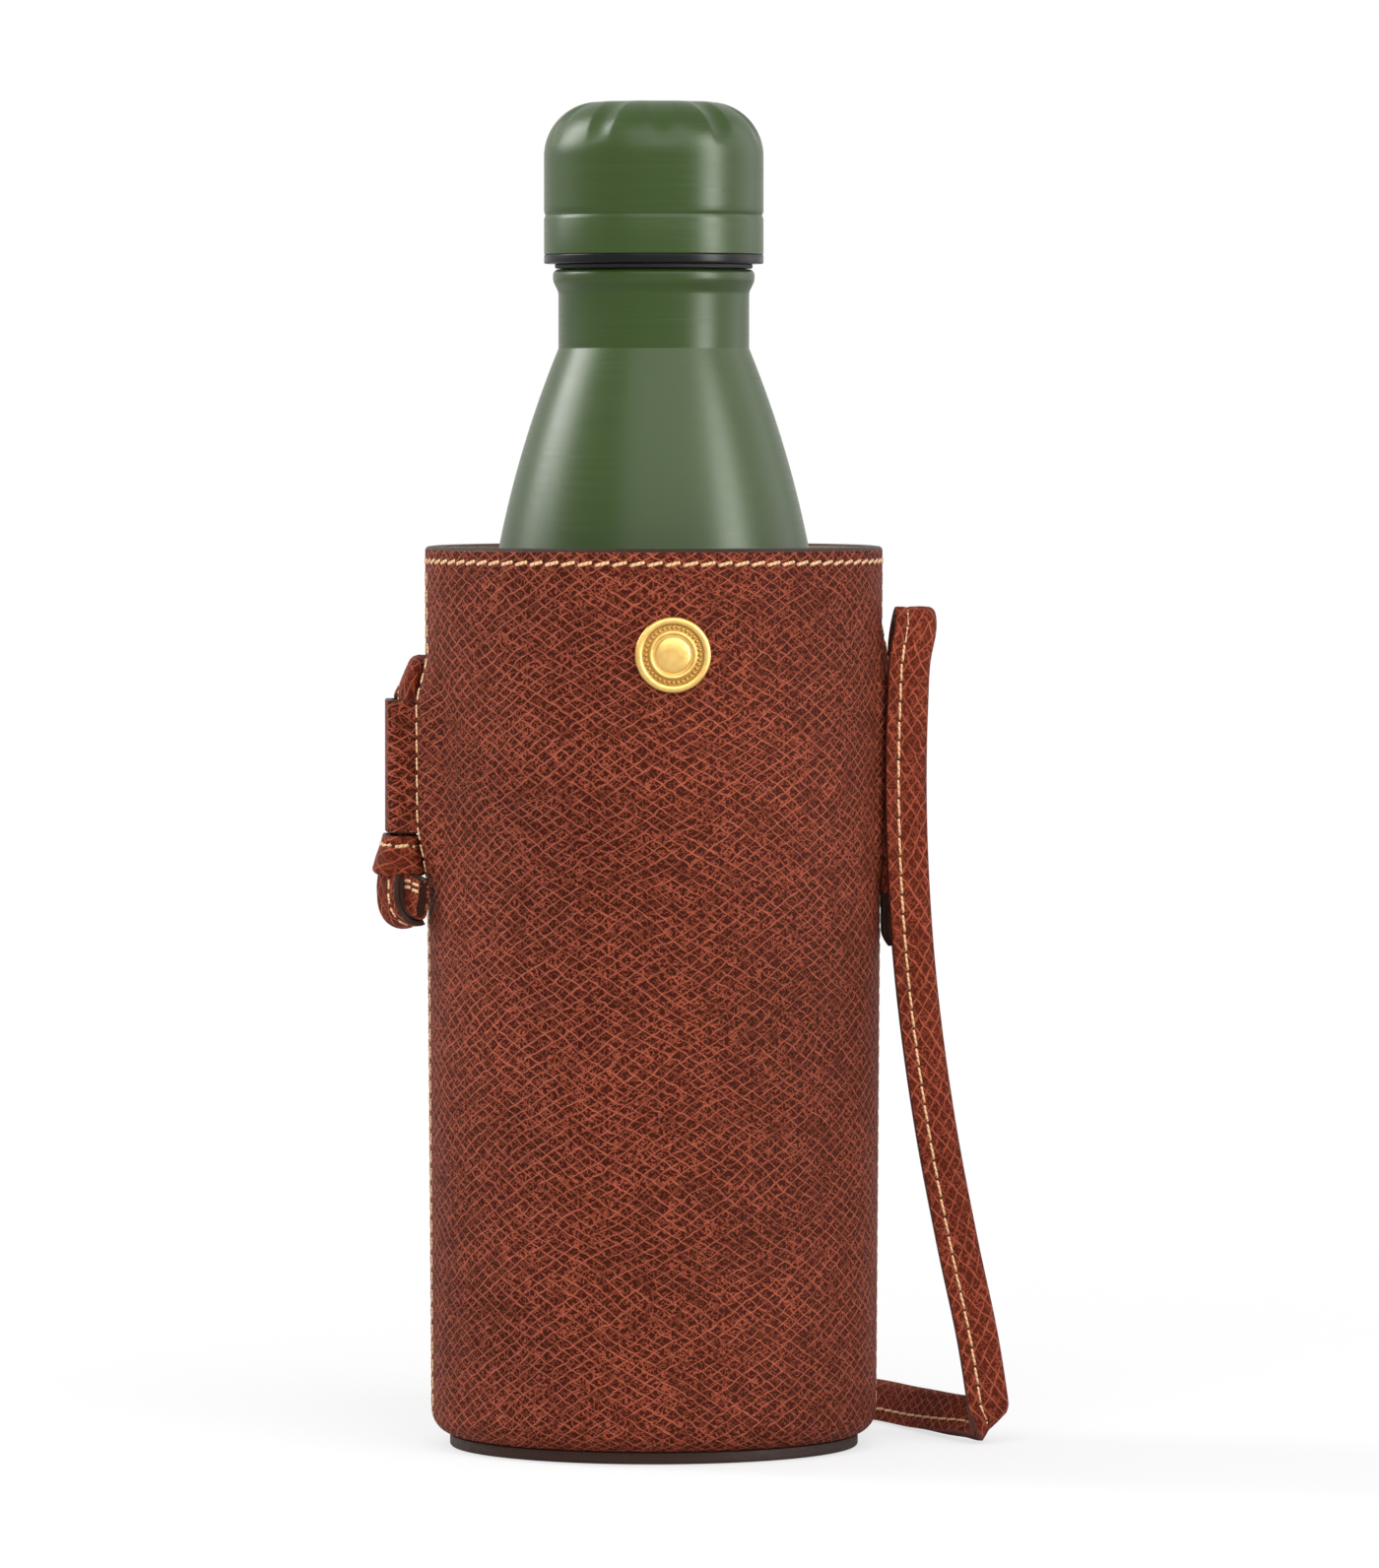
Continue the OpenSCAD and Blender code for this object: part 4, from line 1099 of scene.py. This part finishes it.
# %% Fluted cap
CAP_Z, CAP_R, CAP_H, CAP_ROUND, CAP_WALL = 241.26, 22.2, 30.8, 11.0, 1.2
CAP_TOP = CAP_Z + CAP_H
FLUTES, FLUTE_TURN, FLUTE_DEPTH, FLUTE_HALF = 10, math.radians(18), 0.65, 2.8
FLUTE_SLOPE, FLUTE_REACH = 51, 40
GROOVE = CAP_Z + 7.9
GROOVE_TOP = GROOVE + 0.8
cap_corner = (CAP_R - CAP_ROUND, CAP_TOP - CAP_ROUND)
cap_outline = ([(CAP_R - CAP_WALL, CAP_Z), (CAP_R - 0.15, CAP_Z), (CAP_R, CAP_Z + 0.15)]
               + [(CAP_R, GROOVE - 0.8), (CAP_R - 0.08, GROOVE - 0.5), (CAP_R - 0.28, GROOVE),
                  (CAP_R - 0.08, GROOVE + 0.5)]
               + [(CAP_R, GROOVE_TOP + (cap_corner[1] - GROOVE_TOP) * k / 8) for k in range(8)]
               + arc(cap_corner, CAP_ROUND, 0, 90, 36)
               + [(cap_corner[0] * k / 8, CAP_TOP) for k in range(7, -1, -1)]
               + [(0, CAP_TOP - CAP_WALL)] + arc(cap_corner, CAP_ROUND - CAP_WALL, 90, 0, 10)
               + [(CAP_R - CAP_WALL, GROOVE)])
cap_shape = spun(cap_outline, closed=True, steps=320)
for vert in cap_shape.verts:
    x, y, z = vert.co
    radius = math.hypot(x, y)
    lift = Vector((radius - cap_corner[0], 0, z - cap_corner[1]))
    if lift.length < CAP_ROUND - CAP_WALL / 2 or lift.z <= 0 or lift.x <= 0:
        continue
    gap = (math.atan2(y, x) - FLUTE_TURN) % (math.tau / FLUTES)
    gap = min(gap, math.tau / FLUTES - gap) * radius
    slope = math.degrees(math.atan2(lift.z, lift.x))
    along = max(0.0, 1 - ((slope - FLUTE_SLOPE) / FLUTE_REACH) ** 2)
    across = max(0.0, 1 - (gap / FLUTE_HALF) ** 2)
    lift.normalize()
    inward = Vector((x / radius * lift.x, y / radius * lift.x, lift.z))
    vert.co -= inward * FLUTE_DEPTH * across**1.3 * along
keep(cap_shape, "cap_dome", [green_paint], "cap", ["cap_shell"], sharp=30)

# %% [markdown]
# Under the painted cap sits a black collar of the same width, the screw plug that hangs from it,
# and a flat rubber seal. The collar has soft edges that catch a thin line of light, and the plug a
# shallow dish in its end.

# %% Collar, plug and seal
SPIGOT_R = CAP_R - CAP_WALL - 0.05
BORE_R = PLUG_R - 1.6
collar_outline = ([(BORE_R, COLLAR_Z)] + arc((CAP_R - 0.35, COLLAR_Z + 0.35), 0.35, -90, 0, 4)
                  + arc((CAP_R - 0.25, CAP_Z - 0.3), 0.25, 0, 90, 4)
                  + [(SPIGOT_R, CAP_Z - 0.05), (SPIGOT_R, CAP_Z + 6), (SPIGOT_R - 1.5, CAP_Z + 6),
                     (SPIGOT_R - 1.5, CAP_Z), (BORE_R, CAP_Z)])
keep(spun(collar_outline, closed=True), "cap_ring", [black_plastic], "cap",
     ["cap_collar"])
PLUG_Z = COLLAR_Z - PLUG_H
plug_outline = ([(0, PLUG_Z + 0.5), (11, PLUG_Z + 0.5), (12, PLUG_Z)]
                + arc((PLUG_R - 0.6, PLUG_Z + 0.6), 0.6, -90, 0, 5)
                + [(PLUG_R, COLLAR_Z), (BORE_R, COLLAR_Z), (BORE_R, PLUG_Z + 1.6),
                   (0, PLUG_Z + 1.6)])
keep(spun(plug_outline), "screw_plug", [black_plastic], "cap", ["cap_plug"])
SEAL_Z, SEAL_TOP = LIP_Z + 0.15, LIP_Z + 1.05
seal_outline = [(15.9, SEAL_Z + 0.15), (16.1, SEAL_Z), (19.8, SEAL_Z), (20, SEAL_Z + 0.2),
                (20, SEAL_TOP - 0.2), (19.8, SEAL_TOP), (16.1, SEAL_TOP), (15.9, SEAL_TOP - 0.15)]
keep(spun(seal_outline, closed=True), "seal_ring", [seal_rubber], "seal",
     ["cap_seal"])

# %% [markdown]
# ## Floor and light
# The set is a plain pale floor in soft light. A large soft panel hangs above the camera and lights
# everything, and a smaller one behind on the left lights the edge. The three cards only show in
# reflections, as white cards do in a studio: they draw the long highlight on the right of the
# paint, its soft end, and the one along the left of the shoulder. The world fills the shadows. The
# background is white only to the camera and in reflections, so it doesn't add light.

# %% Floor
floor_shape = bmesh.new()
bmesh.ops.create_circle(floor_shape, cap_ends=True, segments=96, radius=3.0)
floor_mesh = as_mesh(floor_shape, "floor")
floor = show("floor", floor_mesh)
floor.location.z = -0.0002

floor_paint, tree = new_material("floor_paint", Base_Color=(0.86, 0.86, 0.86, 1), Roughness=0.9)
white = put(tree, "Emission", {"Color": (1, 1, 1, 1), "Strength": 1.0})
away = put(tree, "VectorMath", {0: object_place(tree)}, operation="LENGTH").outputs["Value"]
far = fade(away, 0.1, 0.5, 0.68, 1.0)
seen = put(tree, "LightPath").outputs["Is Camera Ray"]
cover = put(tree, "MixShader", {0: times(far, seen), 2: white.outputs[0],
                                1: tree.nodes["Principled BSDF"].outputs[0]})
tree.links.new(cover.outputs[0], tree.nodes["Material Output"].inputs["Surface"])
floor_mesh.materials.append(floor_paint)


# %% Lamps and world
def panel_lamp(name, place, target, width, height, power, lights_all=True):
    lamp = bpy.data.lights.new(name, "AREA")
    lamp.shape = "RECTANGLE"
    lamp.size, lamp.size_y, lamp.energy = width, height, power
    holder = show(name, lamp)
    point(holder, place, target)
    holder.visible_diffuse = lights_all


panel_lamp("top_panel", (0.1, -1.25, 1.3), (0, 0, 0.1), 2.0, 1.4, 28.0)
panel_lamp("left_panel", (-1.05, 0.5, 0.93), (0, 0, 0.2), 0.36, 1.1, 9.0)
panel_lamp("right_card", (1.2, -0.72, 0.5), (0, 0, 0.15), 0.46, 1.3, 34.0, lights_all=False)
panel_lamp("edge_card", (1.25, 0.35, 0.5), (0, 0, 0.15), 0.9, 1.3, 6.0, lights_all=False)
panel_lamp("left_card", (-1.08, 0.3, 0.9), (0, 0, 0.2), 0.6, 0.7, 15.0, lights_all=False)

world = bpy.data.worlds.new("studio")
bpy.context.scene.world = world
world.use_nodes = True
tree = world.node_tree
path = put(tree, "LightPath").outputs
shown = calc("MAXIMUM", path["Is Camera Ray"],
             calc("MAXIMUM", path["Is Glossy Ray"], path["Is Transmission Ray"]))
level = fade(shown, 0.0, 1.0, 0.5, 1.0)
sky = tree.nodes["Background"]
sky.inputs["Color"].default_value = (1, 1, 1, 1)
tree.links.new(level, sky.inputs["Strength"])

bpy.context.scene.view_settings.view_transform = "Standard"
